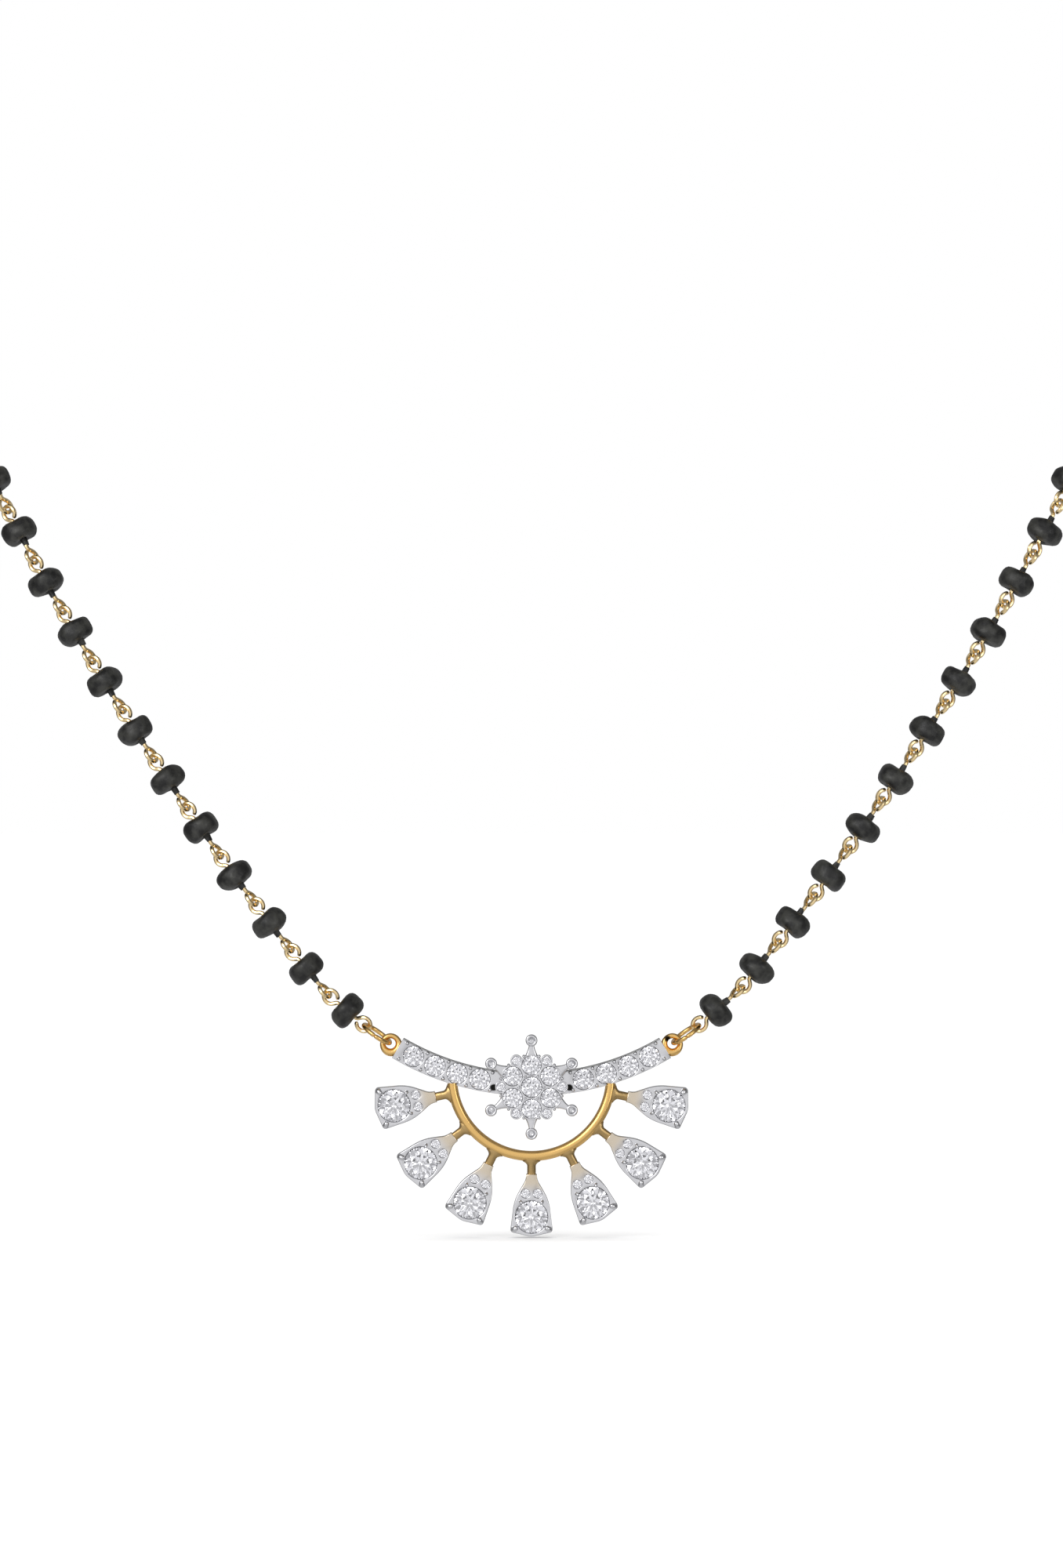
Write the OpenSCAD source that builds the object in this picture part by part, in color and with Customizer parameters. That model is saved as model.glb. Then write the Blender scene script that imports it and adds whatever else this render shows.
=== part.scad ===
// Mangalsutra: a diamond pendant on two strands of black beads, hanging as it is worn.
// Millimetres, +Z up, the pendant faces -Y, and the origin is the middle of the neck hollow.

/* [Pendant bar] */
// Radius of the bar's centreline, seen from the front
bar_curve_r = 18.2; // [16:0.1:22]
// Distance from the middle of the gold arc down to the middle of the bar
bar_drop = 0.54; // [0.3:0.02:0.8]
// Height of the bar
bar_h = 1.6; // [1.56:0.02:2]
// Thickness of the bar from front to back
bar_t = 0.85; // [0.75:0.05:1.2]
// Diameter of each bar stone
bar_stone_d = 1.42; // [1.1:0.02:1.46]
// Distance between neighbouring bar stones along the bar
bar_stone_pitch = 1.62; // [1.58:0.02:1.7]
// Distance along the bar from its middle to the first stone
bar_stone_start = 3.6; // [3.4:0.05:3.8]
// Stones on each side of the bar
bar_stones_side = 4; // [2:1:4]
// Distance from the middle of the last stone to the end of the bar
bar_end_l = 1.23; // [1.1:0.01:1.5]
// Diameter of the bar's prongs
bar_prong_d = 0.3; // [0.2:0.02:0.34]
// Inner diameter of the eyelet at each end of the bar
eyelet_bore = 0.7; // [0.66:0.02:0.9]
// Thickness of the eyelet's wire
eyelet_wire = 0.36; // [0.3:0.02:0.5]
// How far the eyelets lie behind the middle of the arc, over the pendant's weight
eyelet_back = 0.1; // [0:0.02:0.2]

/* [Gold arc] */
// Radius of the arc's centreline
arc_r = 5.5; // [5.2:0.1:6]
// Width of the arc, seen from the front
arc_w = 0.72; // [0.5:0.02:0.9]
// Thickness of the arc from front to back
arc_t = 0.9; // [0.7:0.02:1.1]
// Width of the chamfers along the arc's edges
arc_chamfer = 0.18; // [0.05:0.01:0.22]

/* [Pear settings] */
// Angle between neighbouring settings
pear_step = 26; // [25:0.5:27]
// Length of each stem outside the arc
stem_l = 0.9; // [0.6:0.05:1.5]
// Width of each stem
stem_w = 0.6; // [0.4:0.02:0.66]
// Thickness of each stem from front to back
stem_t = 0.5; // [0.3:0.02:0.6]
// Size of the gussets where a stem meets the arc
stem_gusset = 0.32; // [0.1:0.02:0.4]
// Width of the setting's neck
neck_w = 0.74; // [0.7:0.02:0.9]
// Distance from the neck's end to the middle of the main stone
pear_l = 2.95; // [2.9:0.05:3.4]
// Diameter of the main stone
pear_stone_d = 2.24; // [1.8:0.02:2.3]
// Width of the metal around the main stone
pear_rim = 0.22; // [0.16:0.01:0.4]
// Thickness of the setting from front to back
pear_t = 1.15; // [1.1:0.05:1.6]
// Diameter of the two small stones
accent_d = 0.6; // [0.4:0.02:0.62]
// Width of the metal between the two small stones
accent_gap = 0.24; // [0.16:0.02:0.26]
// Diameter of the corner prongs
corner_prong_d = 0.46; // [0.3:0.02:0.56]
// Diameter of the inner prongs
inner_prong_d = 0.28; // [0.16:0.02:0.3]

/* [Cluster] */
// Distance from the middle of the bar down to the middle of the cluster
cluster_drop = 0.16; // [0:0.02:0.4]
// Diameter of the centre stone
centre_stone_d = 1.4; // [1:0.02:1.42]
// Diameter of the six stones around it
petal_stone_d = 1.32; // [1:0.02:1.34]
// Distance from the centre to each of the six stones
petal_r = 1.5; // [1.48:0.01:1.56]
// Diameter of the six small stones in the notches
notch_stone_d = 0.6; // [0.4:0.02:0.62]
// Distance from the centre to each notch stone
notch_r = 2.1; // [2.08:0.01:2.2]
// Width of the metal around the outer stones
cluster_rim = 0.11; // [0.06:0.01:0.18]
// Thickness of the cluster from front to back
cluster_t = 0.9; // [0.85:0.05:1.2]
// Distance from the centre to each tip
tip_r = 3.22; // [3.1:0.02:3.4]
// Diameter of each tip
tip_d = 0.78; // [0.6:0.02:0.9]
// Diameter of the hollow in each tip
tip_hollow_d = 0.4; // [0.2:0.02:0.44]
// Depth of the hollow in each tip
tip_hollow_depth = 0.2; // [0.1:0.02:0.3]
// Width of the arms that carry the tips
arm_w = 0.36; // [0.26:0.02:0.5]
// Thickness of the arms from front to back
arm_t = 0.46; // [0.4:0.02:0.6]
// Diameter of the prongs
cluster_prong_d = 0.22; // [0.14:0.02:0.24]

/* [Chain] */
// Diameter of each bead
bead_d = 2.5; // [2.2:0.1:3]
// Length of each bead along the chain
bead_l = 1.45; // [1.2:0.05:2]
// Rounding of the bead's edges
bead_edge = 0.45; // [0.2:0.05:0.55]
// Diameter of the dimple around the bead's hole
dimple_d = 0.9; // [0.8:0.05:1.1]
// Depth of the dimple
dimple_depth = 0.14; // [0.06:0.02:0.2]
// Thickness of the pin's wire
pin_wire = 0.3; // [0.24:0.02:0.36]
// Inner diameter of the pin's loops
pin_loop_bore = 0.7; // [0.66:0.02:0.9]
// Length of the pin's neck between its bead and its second loop
pin_neck = 0.65; // [0.3:0.05:1.2]
// Turn of the pins about the line of the chain
pin_roll = 20; // [0:1:25]

/* [Rings and clasp] */
// Inner diameter of the jump rings
jump_bore = 1.84; // [1.3:0.02:2.1]
// Thickness of the jump ring's wire
jump_wire = 0.32; // [0.24:0.02:0.36]
// Diameter of the clasp's barrel
clasp_d = 2.8; // [2:0.1:4]
// Length of the clasp's barrel
clasp_l = 8; // [5:0.5:10]
// Size of the bevels at the barrel's ends
clasp_bevel = 0.7; // [0.2:0.1:0.9]
// Shortest length of the stem between the barrel and its loop
clasp_stem = 0.5; // [0.3:0.1:1.5]
// Thickness of the clasp loops' wire
clasp_wire = 0.4; // [0.3:0.02:0.5]
// Inner diameter of the clasp's loops
clasp_bore = 0.84; // [0.76:0.02:1.2]

/* [Clearances] */
// Gap between two loops that are linked
link_gap = 0.12; // [0.1:0.01:0.14]
// Gap between a bead and its pin
bead_gap = 0.1; // [0.1:0.01:0.14]
// Gap between a stone and its seat
seat_gap = 0.03; // [0.02:0.005:0.04]

/* [Hidden] */
$fn = 32;
// Segments of the pendant's long curves, and the step in degrees round a bead's edge
long_curve_fn = 180;
bead_edge_step = 30;

// Where the middle of the gold arc hangs, from the middle of the neck hollow
pendant_at = [0, -51, -98];

// Straight steps that each stretch of the route is measured in
route_steps = 16;

// Shares of a cut stone's radius
table_share = 0.56;
crown_share = 0.32;
pavilion_share = 0.86;
girdle_share = 0.05;
seat_hole_share = 0.45;
// Main facets round a cut stone
facets = 8;

// How far a cutter runs past the metal, and how deep soldered pieces run into each other
past = 1;
solder = 0.12;
// Heights of the metal: the front of the bar and settings, the girdles below it, prongs above it
metal_front = 0.3;
girdle_depth = 0.06;
prong_rise = 0.18;
prong_root = 0.35;
// Shares of a prong's diameter: its rounding, the half width of its worn top, and how far a
// corner prong stands outside its rim
prong_round = 0.3;
prong_top = 0.28;
corner_prong_out = 0.33;
// Metal left between a prong and the stone beside it, and between two stones
prong_clear = 0.05;
stone_wall = 0.2;
edge_chamfer = 0.08;

pear_count = 7;
// A setting's outline from its neck: place as a share of pear_l, half width as a share
// of the radius round the main stone
pear_sections = [[0.15, 0.3], [0.32, 0.53], [0.55, 0.81], [0.76, 0.945], [1, 0.97]];
// Directions of the prongs round a main stone, from the outward direction
corner_prong_angle = 55;
inner_prong_angle = 145;

petal_count = 6;
petal_turn = 30;
petal_prong_angle = 40;
tip_lift = 0.08;

bar_half_l = bar_stone_start + (bar_stones_side - 1) * bar_stone_pitch + bar_end_l;
bar_half_angle = bar_half_l / bar_curve_r * 180 / PI;
bar_centre_y = bar_curve_r - bar_drop;
bar_back = metal_front - bar_t;
bar_prong_y = bar_h / 2 - bar_prong_d / 2 - edge_chamfer / 2;
cluster_y = -bar_drop - cluster_drop;
cluster_back = metal_front - solder;
cluster_front = cluster_back + cluster_t;
neck_x = arc_r + arc_w / 2 + stem_l;
pear_x = neck_x + pear_l;
pear_outer = pear_stone_d / 2 + pear_rim;
accent_in = (pear_stone_d + accent_d) / 2 + stone_wall;
accent_y = (accent_d + accent_gap) / 2;
corner_prong_r = pear_outer + corner_prong_out * corner_prong_d;
inner_prong_r = (pear_stone_d + inner_prong_d) / 2 + prong_clear;

// The eyelet's middle, level with the bar's end and just outside it
eyelet_out = eyelet_bore / 2 + eyelet_wire - solder;
eyelet_x = bar_curve_r * sin(bar_half_angle) + eyelet_out * cos(bar_half_angle);
eyelet_y = bar_centre_y - bar_curve_r * cos(bar_half_angle) + eyelet_out * sin(bar_half_angle);
eyelet_z = -eyelet_back;

// The right strand's route from the eyelet to the nape, measured from the eyelet's middle:
// outwards, backwards and upwards. The left strand mirrors it.
strand_route = [
  [0, 0, 0], [3.2, 0, 2.3], [8.4, 0.5, 8.4], [15.6, 1.5, 18.4], [22.2, 3, 28.8],
  [27.2, 4.5, 37.8], [33, 8.5, 51], [38.5, 15, 64], [43, 25, 77], [46.5, 39, 88.5],
  [46, 57, 99], [40, 74.5, 106], [28, 88.5, 110], [11, 98, 112], [-eyelet_x, 101, 112.5]
];

// Lengths along the chain from one link point to the next
function ring_reach(bore) = (bore - link_gap) / 2;
loop_reach = ring_reach(pin_loop_bore);
loop_r = (pin_loop_bore + pin_wire) / 2;
loop_end = loop_reach + loop_r + pin_wire / 2;
jump_l = 2 * ring_reach(jump_bore);
pin_l = 2 * loop_end + bead_gap + bead_l + pin_neck;
end_pin_l = 2 * (loop_end + bead_gap) + bead_l;
stem_slim = 0.02;

function unit(v) = v / norm(v);
function mirrored(side, p) = [side * p[0], p[1], p[2]];

// The route's direction at each point, weighted by the stretches before and after it
function stretch(i) = norm(strand_route[i + 1] - strand_route[i]);
function heading(i) = (strand_route[i + 1] - strand_route[i]) / stretch(i);
last_point = len(strand_route) - 1;
function tangent(i) =
  i == 0 ? heading(0) :
  i == last_point ? [-1, 0, 0] :
  (heading(i) * stretch(i - 1) + heading(i - 1) * stretch(i)) / (stretch(i - 1) + stretch(i));

// A cubic between two points that keeps their directions
function route_at(i, u) =
  strand_route[i] * (2 * u ^ 3 - 3 * u ^ 2 + 1) + strand_route[i + 1] * (3 * u ^ 2 - 2 * u ^ 3)
  + tangent(i) * stretch(i) * (u ^ 3 - 2 * u ^ 2 + u)
  + tangent(i + 1) * stretch(i) * (u ^ 3 - u ^ 2);

eyelet_at = pendant_at + [eyelet_x, -eyelet_z, eyelet_y];
route = [
  for (i = [0:last_point - 1], k = [0:route_steps - 1]) eyelet_at + route_at(i, k / route_steps),
  eyelet_at + strand_route[last_point]
];
travelled = [
  for (i = 0, s = 0; i < len(route); s = s + norm(route[min(i + 1, len(route) - 1)] - route[i]),
    i = i + 1) s
];
route_l = travelled[len(route) - 1];
along_x = [for (i = [0:len(route) - 1]) [travelled[i], route[i][0]]];
along_y = [for (i = [0:len(route) - 1]) [travelled[i], route[i][1]]];
along_z = [for (i = [0:len(route) - 1]) [travelled[i], route[i][2]]];
function strand_at(side, s) =
  mirrored(side, [lookup(s, along_x), lookup(s, along_y), lookup(s, along_z)]);

// Link points: eyelet and jump ring, jump ring and first pin, last pin and clasp
eyelet_link = ring_reach(eyelet_bore);
first_link = eyelet_link + jump_l;
clasp_half = clasp_l / 2 + clasp_stem + ring_reach(clasp_bore) + clasp_bore / 2 + clasp_wire;
pin_count = floor((route_l - first_link - jump_l - clasp_half) / pin_l);
right_end = first_link + pin_count * pin_l;
left_end = first_link + end_pin_l + (pin_count - 1) * pin_l;

function is_end_pin(side, k) = side < 0 && k == 0;
function pin_length(side, k) = is_end_pin(side, k) ? end_pin_l : pin_l;
function pin_start(side, k) =
  first_link + (side < 0 && k > 0 ? end_pin_l + (k - 1) * pin_l : k * pin_l);

PEARS = [1:pear_count];
BAR_STONES = [1:2 * bar_stones_side];
PETALS = [1:petal_count];

// Draws the pendant's pieces, which are laid flat: right, up and towards the front
module hung() {
  translate(pendant_at) rotate([90, 0, 0]) children();
}

// A round wire ring about +Z
module ring(bore, wire) {
  rotate_extrude() translate([(bore + wire) / 2, 0]) circle(d = wire);
}

// A round brilliant: its girdle lies at z = 0 and its table faces +Z
module brilliant(d) {
  r = d / 2;
  girdle = girdle_share * r;
  n = facets;
  m = 2 * n;
  function circle_points(radius, z, count) =
    [for (i = [0:count - 1]) [radius * cos(360 * i / count), radius * sin(360 * i / count), z]];
  table = 0;
  top = n;
  bottom = n + m;
  culet = n + 2 * m;
  polyhedron(
    points = concat(
      circle_points(table_share * r, girdle + crown_share * r, n),
      circle_points(r, girdle, m),
      circle_points(r, -girdle, m),
      [[0, 0, -girdle - pavilion_share * r]]
    ),
    faces = concat(
      [[for (i = [n - 1:-1:0]) table + i]],
      [for (i = [0:n - 1]) [table + i, top + 2 * i, top + (2 * i + m - 1) % m]],
      [for (i = [0:n - 1]) [table + i, top + 2 * i + 1, top + 2 * i]],
      [for (i = [0:n - 1]) [table + i, table + (i + 1) % n, top + 2 * i + 1]],
      [for (i = [0:m - 1]) [top + i, top + (i + 1) % m, bottom + (i + 1) % m, bottom + i]],
      [for (i = [0:m - 1]) [bottom + i, bottom + (i + 1) % m, culet]]
    )
  );
}

// The cutter for a stone's seat: a straight wall, a cone and an open back
module seat(d, depth) {
  r = d / 2;
  wall_r = r + seat_gap;
  hole_r = seat_hole_share * r;
  shoulder = -girdle_share * r - seat_gap;
  rotate_extrude() polygon([
    [0, -depth - past], [hole_r, -depth - past],
    [hole_r, shoulder - (wall_r - hole_r) * pavilion_share],
    [wall_r, shoulder], [wall_r, past], [0, past]
  ]);
}

// A prong with a worn tip: z = 0 is the front of the metal
module prong(d) {
  rotate_extrude() polygon([
    [0, -prong_root], [d / 2, -prong_root], [d / 2, prong_rise - d * prong_round],
    [d * prong_top, prong_rise], [0, prong_rise]
  ]);
}

// Moves a piece to a place along the bar, turned with it
module on_bar(s) {
  translate([0, bar_centre_y, 0]) rotate(s / bar_curve_r * 180 / PI)
    translate([0, -bar_curve_r, 0]) children();
}

function bar_stone_s(i) =
  i <= bar_stones_side ? -bar_stone_start - (bar_stones_side - i) * bar_stone_pitch
                       : bar_stone_start + (i - bar_stones_side - 1) * bar_stone_pitch;

module bar_seats() {
  for (i = BAR_STONES) on_bar(bar_stone_s(i))
    translate([0, 0, metal_front - girdle_depth]) seat(bar_stone_d, bar_t);
}

module bar() {
  half = bar_h / 2;
  color("gainsboro") {
    difference() {
      translate([0, bar_centre_y, 0])
        rotate_extrude(angle = 2 * bar_half_angle, start = 270 - bar_half_angle, $fn = long_curve_fn)
          translate([bar_curve_r, 0]) polygon([
            [-half, bar_back], [half, bar_back], [half, metal_front - edge_chamfer],
            [half - edge_chamfer, metal_front], [edge_chamfer - half, metal_front],
            [-half, metal_front - edge_chamfer]
          ]);
      bar_seats();
    }
    for (side = [-1, 1], k = [0:bar_stones_side], y = [-bar_prong_y, bar_prong_y])
      on_bar(side * (bar_stone_start + (k - 0.5) * bar_stone_pitch))
        translate([0, y, metal_front]) prong(bar_prong_d);
  }
}

module eyelet(side) {
  color("goldenrod") translate([side * eyelet_x, eyelet_y, eyelet_z]) ring(eyelet_bore, eyelet_wire);
}

// The half ring under the bar: its ends run into the bar's lower edge and clear the seats
module gold_arc() {
  w = arc_w / 2;
  t = arc_t / 2;
  c = arc_chamfer;
  color("goldenrod") difference() {
    rotate_extrude(angle = 180, start = 180, $fn = long_curve_fn)
      translate([arc_r, 0]) polygon([
        [-w, c - t], [c - w, -t], [w - c, -t], [w, c - t],
        [w, t - c], [w - c, t], [c - w, t], [-w, t - c]
      ]);
    translate([0, bar_centre_y, -arc_t])
      cylinder(r = bar_curve_r + bar_h / 2 - solder, h = 2 * arc_t, $fn = long_curve_fn);
    bar_seats();
  }
}

// The pieces of one setting lie along +X, outwards from the middle of the arc
module on_ray(i) {
  rotate(270 + (i - (pear_count + 1) / 2) * pear_step) children();
}

module stem() {
  half = stem_w / 2;
  outer = arc_r + arc_w / 2;
  color("goldenrod") translate([0, 0, -stem_t / 2]) linear_extrude(stem_t) polygon([
    [arc_r, -half - stem_gusset], [outer, -half - stem_gusset], [outer + stem_gusset, -half],
    [neck_x + solder, -half], [neck_x + solder, half],
    [outer + stem_gusset, half], [outer, half + stem_gusset], [arc_r, half + stem_gusset]
  ]);
}

module at_accents() {
  for (y = [-accent_y, accent_y]) translate([pear_x - accent_in, y, 0]) children();
}

module pear_setting() {
  girdle_z = metal_front - girdle_depth;
  color("gainsboro") {
    difference() {
      translate([0, 0, metal_front - pear_t]) linear_extrude(pear_t) {
        translate([pear_x, 0]) circle(r = pear_outer);
        polygon(concat(
          [[neck_x, neck_w / 2]],
          [for (p = pear_sections) [neck_x + p[0] * pear_l, p[1] * pear_outer]],
          [for (i = [len(pear_sections) - 1:-1:0])
            [neck_x + pear_sections[i][0] * pear_l, -pear_sections[i][1] * pear_outer]],
          [[neck_x, -neck_w / 2]]
        ));
      }
      translate([pear_x, 0, girdle_z]) seat(pear_stone_d, pear_t);
      at_accents() translate([0, 0, girdle_z]) seat(accent_d, pear_t);
    }
    for (side = [-1, 1]) {
      translate([pear_x, 0, metal_front]) rotate(side * corner_prong_angle)
        translate([corner_prong_r, 0, 0]) prong(corner_prong_d);
      translate([pear_x, 0, metal_front]) rotate(side * inner_prong_angle)
        translate([inner_prong_r, 0, 0]) prong(inner_prong_d);
    }
  }
}

module on_petals(turn, radius) {
  for (i = PETALS) rotate(turn + i * 360 / petal_count) translate([radius, 0, 0]) children();
}

module cluster_head() {
  girdle_z = cluster_front - girdle_depth;
  petal_prong_r = (petal_stone_d + cluster_prong_d) / 2 + prong_clear;
  // As far from the centre stone's middle as from those of the two stones beside it
  inner_prong_place = petal_r / (2 * cos(180 / petal_count));
  color("gainsboro") translate([0, cluster_y, 0]) {
    difference() {
      translate([0, 0, cluster_back]) linear_extrude(cluster_t) {
        circle(r = petal_r + cluster_rim);
        on_petals(petal_turn, petal_r) circle(d = petal_stone_d + 2 * cluster_rim);
        on_petals(0, notch_r) circle(d = notch_stone_d + 2 * cluster_rim);
      }
      translate([0, 0, girdle_z]) {
        seat(centre_stone_d, cluster_t);
        on_petals(petal_turn, petal_r) seat(petal_stone_d, cluster_t);
        on_petals(0, notch_r) seat(notch_stone_d, cluster_t);
      }
    }
    on_petals(0, inner_prong_place) translate([0, 0, cluster_front]) prong(cluster_prong_d);
    on_petals(petal_turn, petal_r) for (side = [-1, 1]) rotate(side * petal_prong_angle)
      translate([petal_prong_r, 0, cluster_front]) prong(cluster_prong_d);
    on_petals(petal_turn, 0) cluster_arm();
  }
}

// One arm of the cluster along +X, with a hollowed tip
module cluster_arm() {
  root = petal_r + petal_stone_d / 2 + cluster_rim - solder;
  arm_back = cluster_front - edge_chamfer - arm_t;
  tip_front = cluster_front + tip_lift;
  translate([root, -arm_w / 2, arm_back]) cube([tip_r - root, arm_w, arm_t]);
  translate([tip_r, 0, 0]) difference() {
    translate([0, 0, arm_back - tip_lift]) cylinder(d = tip_d, h = tip_front + tip_lift - arm_back);
    translate([0, 0, tip_front - tip_hollow_depth]) cylinder(d = tip_hollow_d, h = past);
  }
}

module pendant_frame() {
  hung() {
    bar();
    gold_arc();
    for (side = [-1, 1]) eyelet(side);
    for (i = PEARS) on_ray(i) {
      stem();
      pear_setting();
    }
    cluster_head();
  }
}

module pear_stone(i) {
  color("white") hung() on_ray(i) translate([pear_x, 0, metal_front - girdle_depth])
    brilliant(pear_stone_d);
}

module bar_stone(i) {
  color("white") hung() on_bar(bar_stone_s(i)) translate([0, 0, metal_front - girdle_depth])
    brilliant(bar_stone_d);
}

module in_cluster() {
  hung() translate([0, cluster_y, cluster_front - girdle_depth]) children();
}

module cluster_stone(i) {
  color("white") in_cluster() rotate(petal_turn + i * 360 / petal_count)
    translate([petal_r, 0, 0]) brilliant(petal_stone_d);
}

module cluster_centre_stone() {
  color("white") in_cluster() brilliant(centre_stone_d);
}

module cluster_accent_stones() {
  color("white") in_cluster() on_petals(0, notch_r) brilliant(notch_stone_d);
}

module accent_stones() {
  color("white") hung() for (i = PEARS) on_ray(i) at_accents()
    translate([0, 0, metal_front - girdle_depth]) brilliant(accent_d);
}

// Draws a link between two link points: +X along the chain, +Y outwards from the neck
module link_between(p, q) {
  x = unit(q - p);
  y = unit([x[1], -x[0], 0]);
  z = cross(x, y);
  multmatrix([
    [x[0], y[0], z[0], p[0]], [x[1], y[1], z[1], p[1]], [x[2], y[2], z[2], p[2]], [0, 0, 0, 1]
  ]) children();
}

// Both strands run the same way round the neck, so the left one is drawn from its far end
module on_strand(side, start, length) {
  near = strand_at(side, start);
  far = strand_at(side, start + length);
  link_between(side > 0 ? near : far, side > 0 ? far : near) children();
}

module pin_loop(face_on) {
  rotate([face_on ? 90 : 0, 0, 0]) ring(pin_loop_bore, pin_wire);
}

module eye_pin(length, second_face_on) {
  rotate([pin_roll, 0, 0]) {
    translate([loop_reach, 0, 0]) pin_loop(true);
    translate([length - loop_reach, 0, 0]) pin_loop(second_face_on);
    translate([loop_reach + loop_r, 0, 0]) rotate([0, 90, 0])
      cylinder(d = pin_wire - stem_slim, h = length - 2 * (loop_reach + loop_r));
  }
}

module pins(side) {
  color("gold") for (k = [0:pin_count - 1]) on_strand(side, pin_start(side, k), pin_length(side, k))
    eye_pin(pin_length(side, k), is_end_pin(side, k));
}

function bead_corner(sign) = [
  for (a = [0:bead_edge_step:90]) [
    bead_d / 2 - bead_edge + bead_edge * (sign < 0 ? sin(a) : cos(a)),
    sign * (bead_l / 2 - bead_edge + bead_edge * (sign < 0 ? cos(a) : sin(a)))
  ]
];

module bead() {
  hole_r = pin_wire / 2 + bead_gap;
  half = bead_l / 2;
  translate([loop_end + bead_gap + half, 0, 0]) rotate([0, 90, 0]) rotate_extrude()
    polygon(concat(
      [[hole_r, dimple_depth - half], [dimple_d / 2, -half]],
      bead_corner(-1),
      bead_corner(1),
      [[dimple_d / 2, half], [hole_r, half - dimple_depth]]
    ));
}

module beads(side) {
  color("dimgray") for (k = [0:pin_count - 1])
    on_strand(side, pin_start(side, k), pin_length(side, k)) bead();
}

module jump_ring() {
  translate([ring_reach(jump_bore), 0, 0]) ring(jump_bore, jump_wire);
}

module pendant_jump_ring(side) {
  color("gold") on_strand(side, eyelet_link, jump_l) jump_ring();
}

module clasp_jump_ring() {
  color("gold") on_strand(-1, left_end, jump_l) rotate([pin_roll, 0, 0]) jump_ring();
}

module clasp() {
  near = strand_at(1, right_end);
  far = strand_at(-1, left_end + jump_l);
  span = norm(far - near);
  wire_r = (clasp_bore + clasp_wire) / 2;
  first = ring_reach(clasp_bore);
  half = clasp_l / 2;
  r = clasp_d / 2;
  color("gold") link_between(near, far) rotate([pin_roll, 0, 0]) {
    for (x = [first, span - first])
      translate([x, 0, 0]) rotate([90, 0, 0]) ring(clasp_bore, clasp_wire);
    translate([first + wire_r, 0, 0]) rotate([0, 90, 0])
      cylinder(d = clasp_wire - stem_slim, h = span - 2 * (first + wire_r));
    translate([span / 2, 0, 0]) rotate([0, 90, 0]) rotate_extrude() polygon([
      [0, -half], [r - clasp_bevel, -half], [r, clasp_bevel - half],
      [r, half - clasp_bevel], [r - clasp_bevel, half], [0, half]
    ]);
  }
}

pendant_frame();
for (i = PEARS) pear_stone(i);
for (i = BAR_STONES) bar_stone(i);
for (i = PETALS) cluster_stone(i);
cluster_centre_stone();
accent_stones();
cluster_accent_stones();
pendant_jump_ring(-1);  // left_jump_ring
pendant_jump_ring(1);  // right_jump_ring
pins(-1);  // left_pins
pins(1);  // right_pins
beads(-1);  // left_beads
beads(1);  // right_beads
clasp_jump_ring();
clasp();
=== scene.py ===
"""The finished surfaces of a mangalsutra: a diamond pendant on two strands of black beads.

Laid out as an add-on. The property groups hold the sizes and colours, each operator makes one
group of pieces round the fixed frame, and the panel lists the operators. Shapes are worked out
in millimetres and put down in metres.
"""

import math
from types import SimpleNamespace

import bpy
import numpy as np
from bpy.props import FloatProperty, FloatVectorProperty, PointerProperty
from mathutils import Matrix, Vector
from mathutils.geometry import delaunay_2d_cdt


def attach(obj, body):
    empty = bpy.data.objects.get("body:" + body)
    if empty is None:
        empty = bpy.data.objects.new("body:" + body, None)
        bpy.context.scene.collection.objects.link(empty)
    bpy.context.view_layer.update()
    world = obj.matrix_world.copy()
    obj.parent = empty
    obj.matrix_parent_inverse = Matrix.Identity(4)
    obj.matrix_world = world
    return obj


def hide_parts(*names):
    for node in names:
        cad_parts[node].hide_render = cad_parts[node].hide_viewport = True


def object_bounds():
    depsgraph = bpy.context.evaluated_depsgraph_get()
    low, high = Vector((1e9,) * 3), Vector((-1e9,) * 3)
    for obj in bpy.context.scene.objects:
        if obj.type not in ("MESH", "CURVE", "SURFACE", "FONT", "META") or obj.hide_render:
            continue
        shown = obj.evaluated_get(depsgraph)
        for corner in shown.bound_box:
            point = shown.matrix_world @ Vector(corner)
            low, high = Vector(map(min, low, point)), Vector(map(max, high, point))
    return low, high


bl_info = {
    "name": "Mangalsutra",
    "version": (1, 0, 0),
    "blender": (4, 5, 0),
    "location": "3D View > Sidebar > Mangalsutra",
    "description": "Makes the finished surfaces of a diamond mangalsutra round its frame",
    "category": "Object",
}

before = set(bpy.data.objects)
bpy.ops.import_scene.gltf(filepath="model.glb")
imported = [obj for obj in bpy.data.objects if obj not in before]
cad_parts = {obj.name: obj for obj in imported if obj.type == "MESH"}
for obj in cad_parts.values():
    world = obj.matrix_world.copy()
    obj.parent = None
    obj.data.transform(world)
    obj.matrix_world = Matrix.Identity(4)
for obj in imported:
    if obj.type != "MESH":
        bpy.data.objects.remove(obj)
CAD_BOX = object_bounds()

MM = 0.001
LEFT, RIGHT = -1, 1
SIDES = (LEFT, RIGHT)

# Where the middle of the gold arc hangs, from the middle of the neck hollow
PENDANT_AT = np.array([0.0, -51.0, -98.0])

# A cut stone's shares of its radius and its main facets, once round, and the hole, as a share of
# the radius too, and the sides of the seat below it
TABLE, CROWN, PAVILION, GIRDLE = 0.56, 0.32, 0.86, 0.05
STAR_REACH, LOWER_REACH, MAIN_FACETS = 0.76, 0.24, 8
SEAT_HOLE, SEAT_SIDES = 0.45, 40

# The front of the bar and the settings, from the middle of the arc towards the viewer, how far
# the girdles lie below it, the gap round a stone and how far soldered pieces run together
METAL_FRONT, GIRDLE_DEPTH, SEAT_GAP, SOLDER = 0.3, 0.06, 0.03, 0.12

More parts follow.
